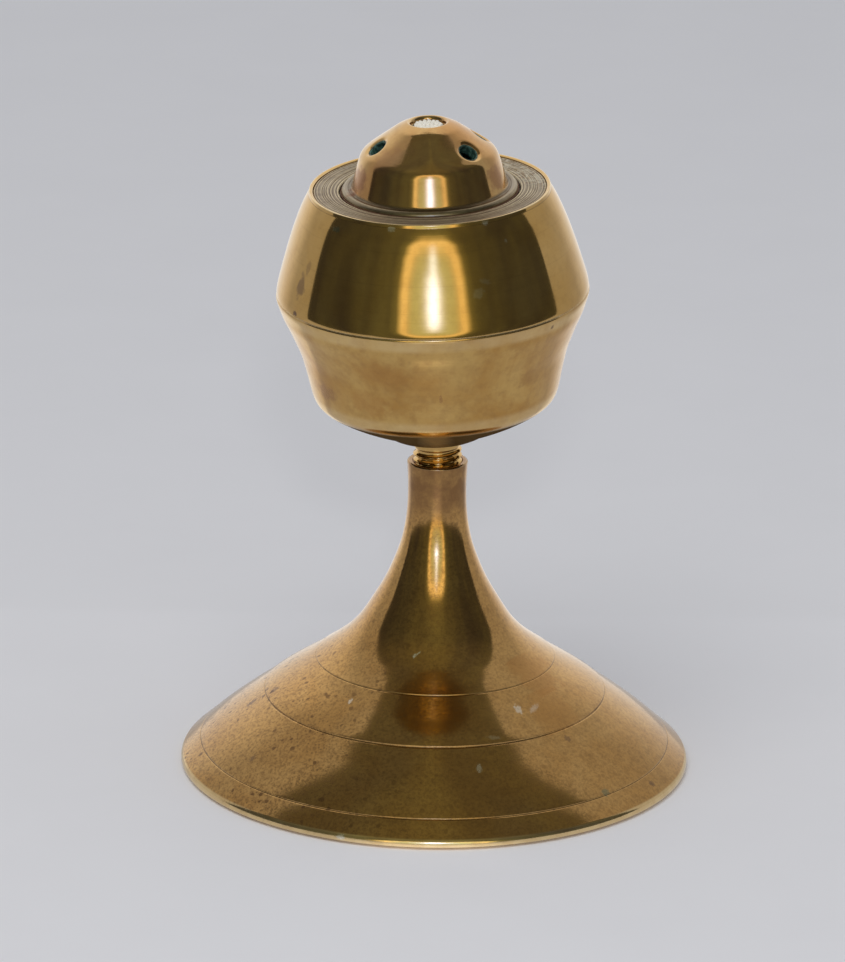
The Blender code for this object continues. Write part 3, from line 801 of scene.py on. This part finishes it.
def foot_outline():
    """From the mouth down the outside, then under the foot to the axis."""
    mouth = line((3.75, MOUTH), (4.30, MOUTH), 0.1)
    stem = spline([(4.42, 46.28), (4.36, 45.2), (4.28, 43.4), (4.27, 41.5), (4.33, 39.5),
                   (4.58, 37.0), (5.18, 34.0), (6.2, 31.0), (7.5, 28.0), (9.2, 25.0),
                   (11.15, 21.90), (12.5, 20.28), (13.75, 19.06), (15.0, 18.04),
                   (16.2, 17.14), UPPER_1], 10)
    step_1 = spline([LOWER_1, (19.4, 14.84), (21.5, 13.47), (23.4, 12.19), UPPER_2])
    step_2 = spline([LOWER_2, (27.4, 9.06), (29.6, 7.42), (32.0, 5.50), UPPER_3])
    step_3 = spline([LOWER_3, (35.3, 2.56), (36.1, 1.87), (36.68, 1.36)], 6)
    bead = spline([(36.68, 1.36), (36.90, 1.14), (37.05, 0.90), (37.12, 0.62), (37.14, 0.38),
                   (37.05, 0.15), (36.65, 0.02)], 6)
    rest = line((36.6, 0.0), (34.7, 0.0), 0.4)
    under = spline([(34.4, 0.9), (33.0, 2.2), (30.2, 4.7), (26.8, 7.4), (23.6, 9.6),
                    (20.2, 12.0), (16.6, 14.7), (13.2, 17.9), (10.7, 20.8), (8.9, 22.6),
                    (5.5, 23.5), (2.5, 23.5)], 5)
    outline = joined(mouth, 0.12, stem, 0.03, notch(UPPER_1, LOWER_1, 0.06),
                     0.03, step_1, 0.03, notch(UPPER_2, LOWER_2, 0.12),
                     0.03, step_2, 0.03, notch(UPPER_3, LOWER_3, 0.075),
                     0.03, step_3, 0.02, bead, 0.05, rest, 0.25, under, 0.3, (0.0, 23.5, 0.8))
    # scaled to the CAD foot
    return outline * [FOOT_CAD.radius / FOOT_RADIUS, FOOT_CAD.high / MOUTH]


def socket_ring(angle, z):
    """One ring of the threaded socket, set about the head's axis."""
    entry = smooth_step(z, MOUTH - 0.35, MOUTH)
    depth = ((SOCKET_MAJOR - SOCKET_CORE)
             * smooth_step(z, SOCKET_FLOOR + 0.6, SOCKET_FLOOR + 1.6))
    radius = SOCKET_CORE + depth * thread_wave(angle, z, SCREW_PITCH, SCREW_CREST)
    radius = radius * (1 - entry) + SOCKET_MOUTH_RADIUS * entry
    home = np.array(HEAD)
    ring = ((polar(angle, radius, z) * MM) @ home[:3, :3].T + home[:3, 3]) / MM
    if z > MOUTH - 0.15:                     # the mouth lies level, with the stem's top
        ring[:, 2] = z
    return ring


def build_foot():
    """The outer skin stands about the foot's axis and the socket about the head's."""
    outline = foot_outline()
    angle = np.arange(SEGMENTS) * math.tau / SEGMENTS
    socket_heights = np.concatenate([[MOUTH, MOUTH - 0.1],
                                     np.arange(46.2, SOCKET_FLOOR + 0.05, -0.075),
                                     [SOCKET_FLOOR]])
    rings = [socket_ring(angle, z) for z in socket_heights[::-1]]
    rings += [polar(angle, r, z) for r, z in outline[1:-1]]
    floor_centre = (HEAD @ Vector((0, 0, SOCKET_FLOOR * MM))) / MM
    verts = np.vstack(rings + [[list(floor_centre)], [[0, 0, outline[-1][1]]]])
    faces = wall_faces(len(rings), SEGMENTS) + fan_faces(len(rings), SEGMENTS)
    turn = np.concatenate([np.zeros(len(socket_heights)), bend(outline, False)[1:-1]])
    wear_and_painted_light = np.concatenate([np.repeat(turn, SEGMENTS), [0, 0]])
    foot = mesh_object("pedestal_foot_skin", verts, faces, FOOT, FOOT_BRASS, 50.0, wear_and_painted_light)
    fit(foot, "foot", "pedestal_foot")


def build_pad():
    """The disc in the bottom of the socket."""
    profile = joined(line((0, PAD.high), (PAD.radius, PAD.high), 0.6),
                     0.1, (PAD.radius, PAD.low, 0.6), 0.1, (0, PAD.low, 0.6))
    pad = lathe("socket_pad_skin", profile, FIBRE, closed=False, segments=64)
    fit(pad, "head_screw", "socket_pad")


# ------------------------------------------------------------ spigot
SPIGOT_CORE, SPIGOT_MAJOR = 3.08, 3.55       # root and crest radius of its thread
SPIGOT_TIP, SPIGOT_TOP = SPIGOT.low, SPIGOT.high
THREAD_TOP = 48.2


def spigot_thread(angle, r, z):
    on = (smooth_step(z, SPIGOT_TIP + 0.35, SPIGOT_TIP + 1.1)
          * (1 - smooth_step(z, THREAD_TOP - 0.15, THREAD_TOP + 0.15))
          * (r < SPIGOT_CORE + 0.02))
    wave = thread_wave(angle, z, SCREW_PITCH, SCREW_CREST)
    return r + on * (SPIGOT_MAJOR - SPIGOT_CORE) * wave, z


def build_spigot():
    profile = joined(line((0, SPIGOT_TOP), (5.3, SPIGOT_TOP), 1.0),
                     0.15, (5.6, SPIGOT_TOP - 0.3, 0.2), 0.1, (5.6, 52.0, 0.3),
                     0.05, (SPIGOT_MAJOR, 52.0, 0.6), 0.1, (3.56, 49.3, 0.3),
                     0.25, (3.42, 48.75, 0.15), 0.1, (SPIGOT_CORE, 48.5, 0.1),
                     0.1, (SPIGOT_CORE, SPIGOT_TIP + 0.45, 0.07),
                     0.1, (SPIGOT_CORE - 0.42, SPIGOT_TIP, 0.1), 0.1, (0, SPIGOT_TIP, 0.8))
    spigot = lathe("reservoir_spigot_skin", profile, CONE_BRASS, closed=False, segments=160,
                   change=spigot_thread)
    fit(spigot, "head", "reservoir_spigot")


# ------------------------------------------------------------ reservoir shells
def build_cup():
    """The reservoir's lower shell, hollow, with a hole for the spigot."""
    side = spline([(22.62, 72.64), (22.68, 72.42), (22.62, 72.0), (22.36, 71.2), (21.88, 69.8),
                   (21.05, 68.0), (20.2, 66.0), (19.42, 64.0), (18.88, 62.0), (18.48, 60.3),
                   (18.18, 58.9), (17.9, 57.75), (17.62, 56.95)])
    turn = spline([(17.62, 56.95), (17.2, 56.3), (16.4, 55.6)], 6)
    under = spline([(16.4, 55.6), (14.2, 54.3), (12.0, 53.2), (9.6, 52.15), (8.2, 51.45),
                    (7.0, 50.75), (6.0, 50.35), (5.0, 50.0), (4.3, 49.75), (3.72, 49.5)], 6)
    inside = spline([(3.72, 51.9), (6.2, 51.9), (10.5, 53.75), (14.5, 55.9), (16.3, 57.6),
                     (17.2, 60.8), (18.1, 64.6), (19.6, 67.9), (21.1, 70.4), (21.45, 71.4),
                     (21.45, 72.55)], 4)
    profile = joined(side, 0, turn, 0, under, 0.06, (3.72, 51.9, 0.4), 0.1, inside,
                     0.05, line((21.45, 72.67), (22.58, 72.67), 0.3))
    fit(lathe("reservoir_cup_skin", profile, CUP_BRASS), "head", "reservoir_cup")


def build_cone():
    """The reservoir's upper shell, with a lip round the deck and a spigot into the cup."""
    lip = spline([(17.06, 88.22), (17.22, 88.27), (17.36, 88.25), (17.43, 88.16),
                  (17.46, 88.02), (17.51, 87.74)], 5)
    side = spline([(17.51, 87.74), (17.75, 87.34), (18.04, 86.82), (18.51, 85.90),
                   (18.95, 84.90), (19.36, 83.90), (20.06, 82.0), (20.72, 80.0), (21.33, 78.0),
                   (21.91, 76.0), (22.38, 74.25), (22.56, 73.4), (22.61, 72.76)], 6)
    inside = spline([(20.9, 71.5), (21.1, 74.5), (20.1, 77.9), (18.6, 82.0), (16.6, 86.0),
                     (16.2, 86.2)], 5)
    profile = joined(lip, 0, side, 0.04, line((22.61, 72.71), (21.35, 72.71), 0.3),
                     0.05, (21.35, 71.5, 0.4), 0.05, (20.9, 71.5, 0.2), 0.05, inside,
                     0.05, (16.2, 86.5, 0.2), 0.03, (16.9, 86.5, 0.2), 0.05, (16.9, 88.15, 0.2),
                     0.08, line((16.9, 88.12), (17.06, 88.22), 0.06))
    fit(lathe("reservoir_cone_skin", profile, CONE_BRASS), "head", "reservoir_cone")


# ------------------------------------------------------------ deck, filler collar and gasket
# turning marks on the deck: radius, half width, height (below 0 is a groove)
DECK_MARKS = ((16.45, 0.10, -0.05), (16.05, 0.16, -0.035), (15.55, 0.12, -0.05),
              (15.1, 0.10, 0.05), (14.8, 0.18, 0.09), (14.45, 0.10, -0.07),
              (14.1, 0.14, -0.05), (13.75, 0.10, 0.035), (13.5, 0.08, -0.05))


def build_deck():
    rng = np.random.default_rng(7)
    radii = np.arange(16.72, 13.3, -0.045)
    ripple = np.zeros_like(radii)
    for centre, width, height in DECK_MARKS:
        ripple += height * np.exp(-((radii - centre) / width) ** 2)
    ripple += 0.008 * rng.standard_normal(len(radii))
    top = np.stack([radii, 87.98 + 0.05 * (radii - 13.3) / 3.4 + ripple], -1)
    profile = joined(line((16.85, 87.9), (16.85, 86.55), 0.3),
                     0.05, (10.65, 86.55, 0.8), 0.05, (10.65, 87.2, 0.3),
                     0.05, (13.1, 87.2, 0.5), 0.06, (13.1, 87.9, 0.2),
                     0.1, np.vstack([[13.2, 87.97], top[::-1]]),
                     0.04, line((16.74, 88.0), (16.85, 87.9), 0.06))
    deck = lathe("deck_plate_skin", profile, DECK_BRASS, sharp=60.0)
    fit(deck, "head", "deck_plate")


def collar_thread(angle, r, z):
    on = (r < CAP_CORE + 0.14) * smooth_step(z, COLLAR.low - 0.3, COLLAR.low + 0.3)
    return r + on * (CAP_MAJOR - CAP_CORE) * thread_wave(angle, z, CAP_PITCH, CAP_CREST), z


def build_collar():
    bore = CAP_CORE + 0.12
    profile = joined(line((10.6, COLLAR.high), (10.6, 86.5), 0.3),
                     0.05, (12.2, 86.5, 0.4), 0.15, (12.2, COLLAR.low, 0.6),
                     0.3, (bore, COLLAR.low, 0.5), 0.1, (bore, COLLAR.high, 0.09),
                     0.05, (10.6, COLLAR.high, 0.4))
    collar = lathe("filler_collar_skin", profile, DECK_BRASS, segments=160, change=collar_thread)
    fit(collar, "head", "filler_collar")


def build_gasket():
    profile = ring_section(GASKET.radius, 9.95, GASKET.low, GASKET.high,
                           fillet=0.12, side_step=0.2, face_step=0.4)
    gasket = lathe("burner_gasket_skin", profile, FIBRE, segments=128)
    fit(gasket, "burner_screw", "burner_gasket")


# ------------------------------------------------------------ burner dome
DOME_BORE = 8.2
PORT_COUNT = 5
PORT_FIRST, PORT_PITCH = 49.0, 58.75         # degrees from the front
PORT_HEIGHT, PORT_RING = 95.15, 7.72         # of the ports' centres
PORT_TILT = math.radians(34.5)               # from the axis
PORT_RADIUS = 1.28


def port_frames():
    """Each port's centre and outward direction."""
    frames = []
    for i in range(PORT_COUNT):
        azimuth = math.radians(PORT_FIRST + PORT_PITCH * i)
        out = np.array([math.sin(azimuth), -math.cos(azimuth), 0.0])
        up = np.array([0, 0, 1.0])
        facing = out * math.sin(PORT_TILT) + up * math.cos(PORT_TILT)
        frames.append((out * PORT_RING + up * PORT_HEIGHT, facing))
    return frames


PORTS = port_frames()


def from_port(points, centre, facing):
    """Distances from a port's centre, along its direction and across it."""
    offset = points - centre
    along = offset @ facing
    return along, np.sqrt(np.maximum((offset * offset).sum(-1) - along**2, 0))


def dome_marks(angle, r, z):
    """The thread below, and a soft dish pressed into the outer skin at each port."""
    on = ((r < CAP_CORE + 0.02) * (r > CAP_CORE - 0.05)
          * smooth_step(z, DOME.low + 0.25, DOME.low + 0.7) * (1 - smooth_step(z, 86.9, 87.4)))
    r = r + on * (CAP_MAJOR - CAP_CORE) * thread_wave(angle, z, CAP_PITCH, CAP_CREST)
    points = polar(angle, r, z)
    outside = (z > 88.9) & (r > 3.3) & ((z > 94.0 + 0.68 * (8.0 - r)) | (r > 8.6))
    for centre, facing in PORTS:
        along, across = from_port(points, centre, facing)
        dish = 0.58 * (1 - smooth_step(across, 0.9, 2.1))
        dish = np.where(outside & (np.abs(along) < 1.6), dish, 0)
        points = points - dish[..., None] * facing
    return np.hypot(points[..., 0], points[..., 1]), points[..., 2]


def mark_ports(mesh):
    """Writes the port attribute: 1 on the inner wall and in and round the ports."""
    co = np.empty(len(mesh.vertices) * 3)
    mesh.vertices.foreach_get("co", co)
    co = co.reshape(-1, 3) / MM
    radius = np.hypot(co[:, 0], co[:, 1])
    inside = (radius < DOME_BORE + 0.05) & (co[:, 2] < 97.0 - 0.72 * radius + 1.4)
    green = np.where(inside, 1.0, 0.0)
    for centre, facing in PORTS:
        along, across = from_port(co, centre, facing)
        near = (1 - smooth_step(across, 1.25, 1.85)) * (np.abs(along) < 3.5)
        green = np.maximum(green, near)
    mesh.attributes.new("port", "FLOAT", "POINT").data.foreach_set("value", green)


def build_dome():
    lip = spline([(2.45, 97.3), (2.50, 97.72), (2.66, 98.00), (2.90, 98.12), (3.20, 98.06),
                  (3.60, 97.90), (4.05, 97.69)], 6)
    slope = spline([(4.05, 97.69), (4.65, 97.37), (5.2, 96.99), (6.0, 96.42), (7.15, 95.60),
                    (8.45, 94.66), (9.05, 94.20), (9.50, 93.80), (9.82, 93.38), (10.04, 92.90),
                    (10.20, 92.4), (10.50, 91.38), (10.82, 90.28), (11.12, 89.25),
                    (11.22, 88.92)], 7)
    cove = spline([(11.22, 88.92), (11.34, 88.66), (11.52, 88.50), (11.82, 88.46)], 5)
    flange = spline([(11.82, 88.46), (12.05, 88.52), (12.32, 88.50), (12.58, 88.34),
                     (12.72, 88.10)], 5)
    ceiling = spline([(DOME_BORE, 91.4), (7.9, 92.7), (6.6, 93.9), (4.6, 95.1), (2.6, 96.3)], 5)
    profile = joined(lip, 0, slope, 0, cove, 0, flange, 0, (12.75, 87.95, 0.1),
                     0.04, line((12.75, 87.9), (CAP_CORE, 87.9), 0.5),
                     0.08, (CAP_CORE, DOME.low + 0.3, 0.09),
                     0.05, (CAP_CORE - 0.3, DOME.low, 0.1), 0.05, (DOME_BORE, DOME.low, 0.3),
                     0.1, (DOME_BORE, 91.4, 0.7), 0.3, ceiling, 0.06, (2.45, 97.3, 0.2))
    dome = lathe("burner_dome_skin", profile, DOME_BRASS, segments=SEGMENTS + 32,
                 change=dome_marks)
    places = []
    for centre, facing in PORTS:
        turn = Vector((0, 0, 1)).rotation_difference(Vector(facing)).to_matrix().to_4x4()
        places.append(HEAD @ Matrix.Translation(Vector(centre - facing * 1.4) * MM) @ turn)
    drill(dome, "port_drill", PORT_RADIUS, depth=7.0, sides=40, places=places)
    mark_ports(dome.data)
    fit(dome, "burner", "burner_dome")


# ------------------------------------------------------------ tube, carrier and wick
def build_tube():
    profile = ring_section(TUBE.radius, 2.25, TUBE.low, TUBE.high,
                           fillet=0.06, side_step=1.0, face_step=0.1)
    tube = lathe("wick_tube_skin", profile, TUBE_BRASS, segments=96)
    fit(tube, "burner", "wick_tube")


VENT_COUNT, VENT_RING, VENT_RADIUS = 6, 5.3, 0.9


def build_carrier():
    """A flat ring round the tube, with round vents through it."""
    profile = ring_section(CARRIER.radius, 2.6, CARRIER.low, CARRIER.high,
                           fillet=0.1, side_step=0.3, face_step=0.6)
    carrier = lathe("wick_carrier_skin", profile, TUBE_BRASS, segments=128)
    places = []
    for i in range(VENT_COUNT):
        a = math.tau * (i + 0.31) / VENT_COUNT
        centre = (VENT_RING * MM * math.cos(a), VENT_RING * MM * math.sin(a),
                  (CARRIER.low + CARRIER.high) / 2 * MM)
        places.append(HEAD @ Matrix.Translation(centre) @ Matrix.Rotation(0.1, 4, "Z"))
    drill(carrier, "vent", VENT_RADIUS, depth=4, sides=36, places=places)
    fit(carrier, "burner", "wick_carrier")


# strands in the ring, the ring's radius, start angle, way of twist
WICK_RINGS = ((1, 0.0, 0.0, 1), (6, 0.64, 0.3, 1), (12, 1.24, 0.1, -1), (17, 1.78, 0.2, -1))
STRAND_RADIUS = 0.34


def build_wick():
    """A core strand and three rings of strands, twisted, with uneven ends."""
    rng = np.random.default_rng(11)
    verts, faces = [], []
    for count, ring_radius, start, way in WICK_RINGS:
        for k in range(count):
            top = WICK.high + 0.30 - rng.uniform(0.0, 0.16) - 0.08 * (ring_radius > 1.5)
            z = np.arange(WICK.low, top + 0.3, 0.6)[:-1]
            z = np.unique(np.round(np.concatenate([z, [top - 0.18, top - 0.06, top]]), 4))
            twist = start + math.tau * k / count + (z - WICK.low) * 0.16 * way
            wobble = 0.03 * np.sin(z * 1.7 + k)
            end = np.minimum(1.0, np.maximum(0.0, (top - z)) / 0.2)
            radii = (STRAND_RADIUS * (0.55 + 0.45 * np.sqrt(end))
                     * (1 + 0.05 * np.sin(z * 3.1 + 2 * k)))
            points, sides = strand(polar(twist, ring_radius + wobble, z), radii)
            base = len(verts)
            verts += points
            faces += [tuple(base + i for i in face) for face in sides]
    wick = mesh_object("wick_strands", verts, faces, HEAD, COTTON, 60.0)
    fit(wick, "wick", "wick")


for build in (build_foot, build_pad, build_spigot, build_cup, build_cone, build_deck,
              build_collar, build_gasket, build_dome, build_tube, build_carrier, build_wick):
    build()

# ------------------------------------------------------------ floor and reflected surroundings (m)
FLOOR_Z = -0.0003
GLOW_Z = FLOOR_Z + 0.0001
WALL_Y = 0.064


def panel(name, corners, material):
    mesh = bpy.data.meshes.new(name)
    mesh.from_pydata(corners, [], [tuple(range(len(corners)))])
    obj = add_object(name, mesh)
    mesh.materials.append(material)
    return obj


def seen_in_metal(name, corners, material):
    """A panel that only reflections show."""
    obj = panel(name, corners, material)
    obj.visible_camera = obj.visible_diffuse = False
    obj.visible_shadow = obj.visible_transmission = False


def floor_paint():
    n = Material("pale_floor")
    colour = (0.84, 0.84, 0.865)
    mottle = n.mapped(n.noise(n.object_coord(), 40.0), 0.3, 0.7)
    tint = n.mix(mottle, colour, tuple(c * 0.985 for c in colour))
    return n.finish(n.principled(Base_Color=tint, Roughness=0.7, Specular_IOR_Level=0.15))


def lit(name, colour, strength):
    """An emitter: colour times a strength worked out from position."""
    n = Material(name)
    x, y, z = n.split(n.new("ShaderNodeNewGeometry").outputs["Position"])
    emission = n.new("ShaderNodeEmission")
    n.set(emission.inputs[0], colour)
    n.set(emission.inputs[1], strength(n, x, y, z))
    return n.finish(emission)


def table_strength(n, x, y, z):
    """Even, with a sheen in front, close to the foot and again farther out."""
    azimuth = n.size(n.azimuth(x, y))
    sheen = n.fade(azimuth, math.radians(26), math.radians(4), low=0.0, high=0.36)
    near = n.times(n.fade(y, -0.047, -0.041, low=0.10, high=1.4),
                   n.fade(azimuth, math.radians(80), math.radians(10), low=0.6))
    far = n.fade(y, -0.095, -0.135, low=0.10)
    return n.plus(n.times(sheen, n.math("MAXIMUM", near, far)), 0.52)


def wall_strength(n, x, y, z):
    """Brightest near the middle, with the head's soft shadow low behind it."""
    aside = n.fade(n.size(n.plus(x, 0.012)), 0.035, 0.115)
    level = n.minus(0.96, n.times(aside, 0.50))
    from_shadow = n.hypot(n.over(x, 0.027), n.over(n.minus(z, 0.034), 0.024))
    return n.times(level, n.fade(from_shadow, 1.1, 0.75, low=1.0, high=0.42))


floor = panel("floor", [(-6, -6, FLOOR_Z), (6, -6, FLOOR_Z), (6, 6, FLOOR_Z), (-6, 6, FLOOR_Z)],
              floor_paint())
floor.visible_glossy = False
seen_in_metal("floor_seen_in_metal",
              [(-0.21, -0.225, GLOW_Z), (0.21, -0.225, GLOW_Z),
               (0.40, WALL_Y, GLOW_Z), (-0.34, WALL_Y, GLOW_Z)],
              lit("floor_glow", (0.98, 0.98, 1.0), table_strength))
WALL_OUTLINE = ((-0.36, GLOW_Z), (0.40, GLOW_Z), (0.40, 0.66), (0.28, 0.64), (0.11, 0.30),
                (-0.11, 0.30), (-0.28, 0.64), (-0.36, 0.66))       # x, z
seen_in_metal("wall_seen_in_metal", [(x, WALL_Y, z) for x, z in WALL_OUTLINE],
              lit("wall_glow", (1.0, 0.98, 0.94), wall_strength))

# ------------------------------------------------------------ world
SCREEN_AZIMUTH = 0.5              # degrees from the front
SCREEN_REACH = 26.0               # degrees covered by the whole ramp
# the screen's colours from its middle out
SCREEN = [(0.0, (0.72, 0.86, 0.68)), (0.34, (0.64, 0.74, 0.54)), (0.46, (0.78, 0.74, 0.48)),
          (0.53, (1.14, 0.96, 0.56)), (0.64, (1.18, 1.00, 0.60)), (0.72, (0.55, 0.48, 0.24)),
          (0.80, (0.08, 0.08, 0.03)), (1.0, (0.0, 0.0, 0.0))]


def reflected_room(w):
    """What the metal reflects: a rounded lit screen in front, with two bright cores, in a
    dark room.  All angles are in degrees."""
    dx, dy, dz = w.split(w.new("ShaderNodeTexCoord").outputs["Generated"])
    azimuth = w.times(w.azimuth(dx, dy), 180 / math.pi)
    elevation = w.times(w.math("ARCSINE", dz), 180 / math.pi)

    def core(middle, width, height):
        across = w.over(w.minus(azimuth, SCREEN_AZIMUTH), width)
        up = w.over(w.minus(elevation, middle), height)
        return w.math("EXPONENT", w.times(w.square_sum(across, up), -1.0))

    aside = w.size(w.minus(azimuth, SCREEN_AZIMUTH))
    aside = w.math("MAXIMUM", w.minus(aside, 7.0), 0.0)
    below = w.math("MAXIMUM", w.minus(7.2, elevation), 0.0)
    level = w.math("MAXIMUM", w.times(w.minus(elevation, 8.8), 0.715), below)
    screen = w.ramp(w.over(w.hypot(aside, level), SCREEN_REACH), SCREEN)
    lower = w.math("MULTIPLY", core(middle=12.0, width=5.2, height=5.2), 1.0, clamp=True)
    upper = core(middle=22.0, width=3.6, height=5.5)
    cores = w.add_colours(w.glow(lower, (2.2, 3.2, 9.0)), w.glow(upper, (0.75, 1.15, 2.9)))

    # the dark room, lighter overhead and round the front
    stretched = w.combine(w.times(azimuth, 0.03), w.times(elevation, 0.012), 0.3)
    mottle = w.mapped(w.noise(stretched, 2.2, rough=0.5), 0.3, 0.75)
    room = w.mix(mottle, (0.055, 0.055, 0.055), (0.105, 0.11, 0.075))
    room = w.add_colours(room, w.glow(w.fade(elevation, 30.0, 62.0), (0.065, 0.06, 0.035)))
    front = w.fade(w.size(w.minus(azimuth, -6.0)), 62.0, 22.0)
    room = w.add_colours(room, w.glow(front, (0.055, 0.055, 0.015)))
    return w.add_colours(w.add_colours(room, screen), cores)


def build_world():
    """Reflections see the room, the camera a plain grey, and everything else an even fill."""
    world = bpy.data.worlds.new("studio")
    bpy.context.scene.world = world
    world.use_nodes = True
    w = Nodes(world.node_tree)

    def background(colour, strength):
        node = w.new("ShaderNodeBackground")
        w.set(node.inputs[0], colour)
        node.inputs[1].default_value = strength
        return node.outputs[0]

    def switch(ray, off, on):
        node = w.new("ShaderNodeMixShader")
        for socket, value in zip(node.inputs, (path.outputs[ray], off, on)):
            w.set(socket, value)
        return node.outputs[0]

    reflected = background(reflected_room(w), 1.0)
    path = w.new("ShaderNodeLightPath")
    fill = background((0.93, 0.95, 1.0), 0.42)
    backdrop = background((0.35, 0.355, 0.375), 1.0)
    shader = switch("Is Glossy Ray", fill, reflected)
    shader = switch("Is Camera Ray", shader, backdrop)
    w.set(w.new("ShaderNodeOutputWorld").inputs[0], shader)


build_world()

# ------------------------------------------------------------ lights
LIT_POINT = Vector((0, 0, 0.055))


def disc_light(name, azimuth, elevation, distance, size, power, colour=(1, 1, 1)):
    """A round light facing the lit point, left out of reflections and the camera's view."""
    light = bpy.data.lights.new(name, "AREA")
    light.shape = "DISK"
    light.size = size
    light.energy = power
    light.color = colour
    obj = add_object(name, light)
    a, e = math.radians(azimuth), math.radians(elevation)
    toward = Vector((math.sin(a) * math.cos(e), -math.cos(a) * math.cos(e), math.sin(e)))
    obj.location = LIT_POINT + toward * distance
    obj.rotation_mode = "QUATERNION"
    obj.rotation_quaternion = toward.to_track_quat("Z", "Y")
    obj.visible_glossy = False
    obj.visible_camera = False


disc_light("front_lamp", azimuth=1.0, elevation=24.0, distance=1.5, size=0.10, power=2.6)
disc_light("soft_top", azimuth=-20.0, elevation=62.0, distance=1.6, size=1.2, power=9.0,
           colour=(1.0, 0.99, 0.97))

# ------------------------------------------------------------ camera
CAMERA_DISTANCE = 1.5             # from the origin
CAMERA_ELEVATION = math.radians(20.51)
CAMERA_ROLL = math.radians(0.7)
LENS = 381.70478                  # mm, on a 36 mm sensor
# the view is turned off the origin by these slopes
AIM_LEFT, AIM_UP = 0.00111764706, 0.0271666667


def build_camera():
    place = Vector((0, -CAMERA_DISTANCE * math.cos(CAMERA_ELEVATION),
                    CAMERA_DISTANCE * math.sin(CAMERA_ELEVATION)))
    forward = -place.normalized()
    level = Vector((1, 0, 0))
    upright = level.cross(forward)
    right = level * math.cos(CAMERA_ROLL) + upright * math.sin(CAMERA_ROLL)
    up = upright * math.cos(CAMERA_ROLL) - level * math.sin(CAMERA_ROLL)
    forward = (forward - right * AIM_LEFT + up * AIM_UP).normalized()
    right = (right - forward * right.dot(forward)).normalized()
    up = right.cross(forward)
    lens = bpy.data.cameras.new("camera")
    lens.sensor_fit = "AUTO"
    lens.sensor_width = 36.0
    lens.lens = LENS
    lens.clip_start, lens.clip_end = 0.05, 50.0
    camera = add_object("camera", lens)
    turn = Matrix((right, up, -forward)).transposed().to_4x4()
    camera.matrix_world = Matrix.Translation(place) @ turn
    bpy.context.scene.camera = camera


build_camera()
bpy.context.scene.view_settings.view_transform = "Standard"

bpy.context.view_layer.update()
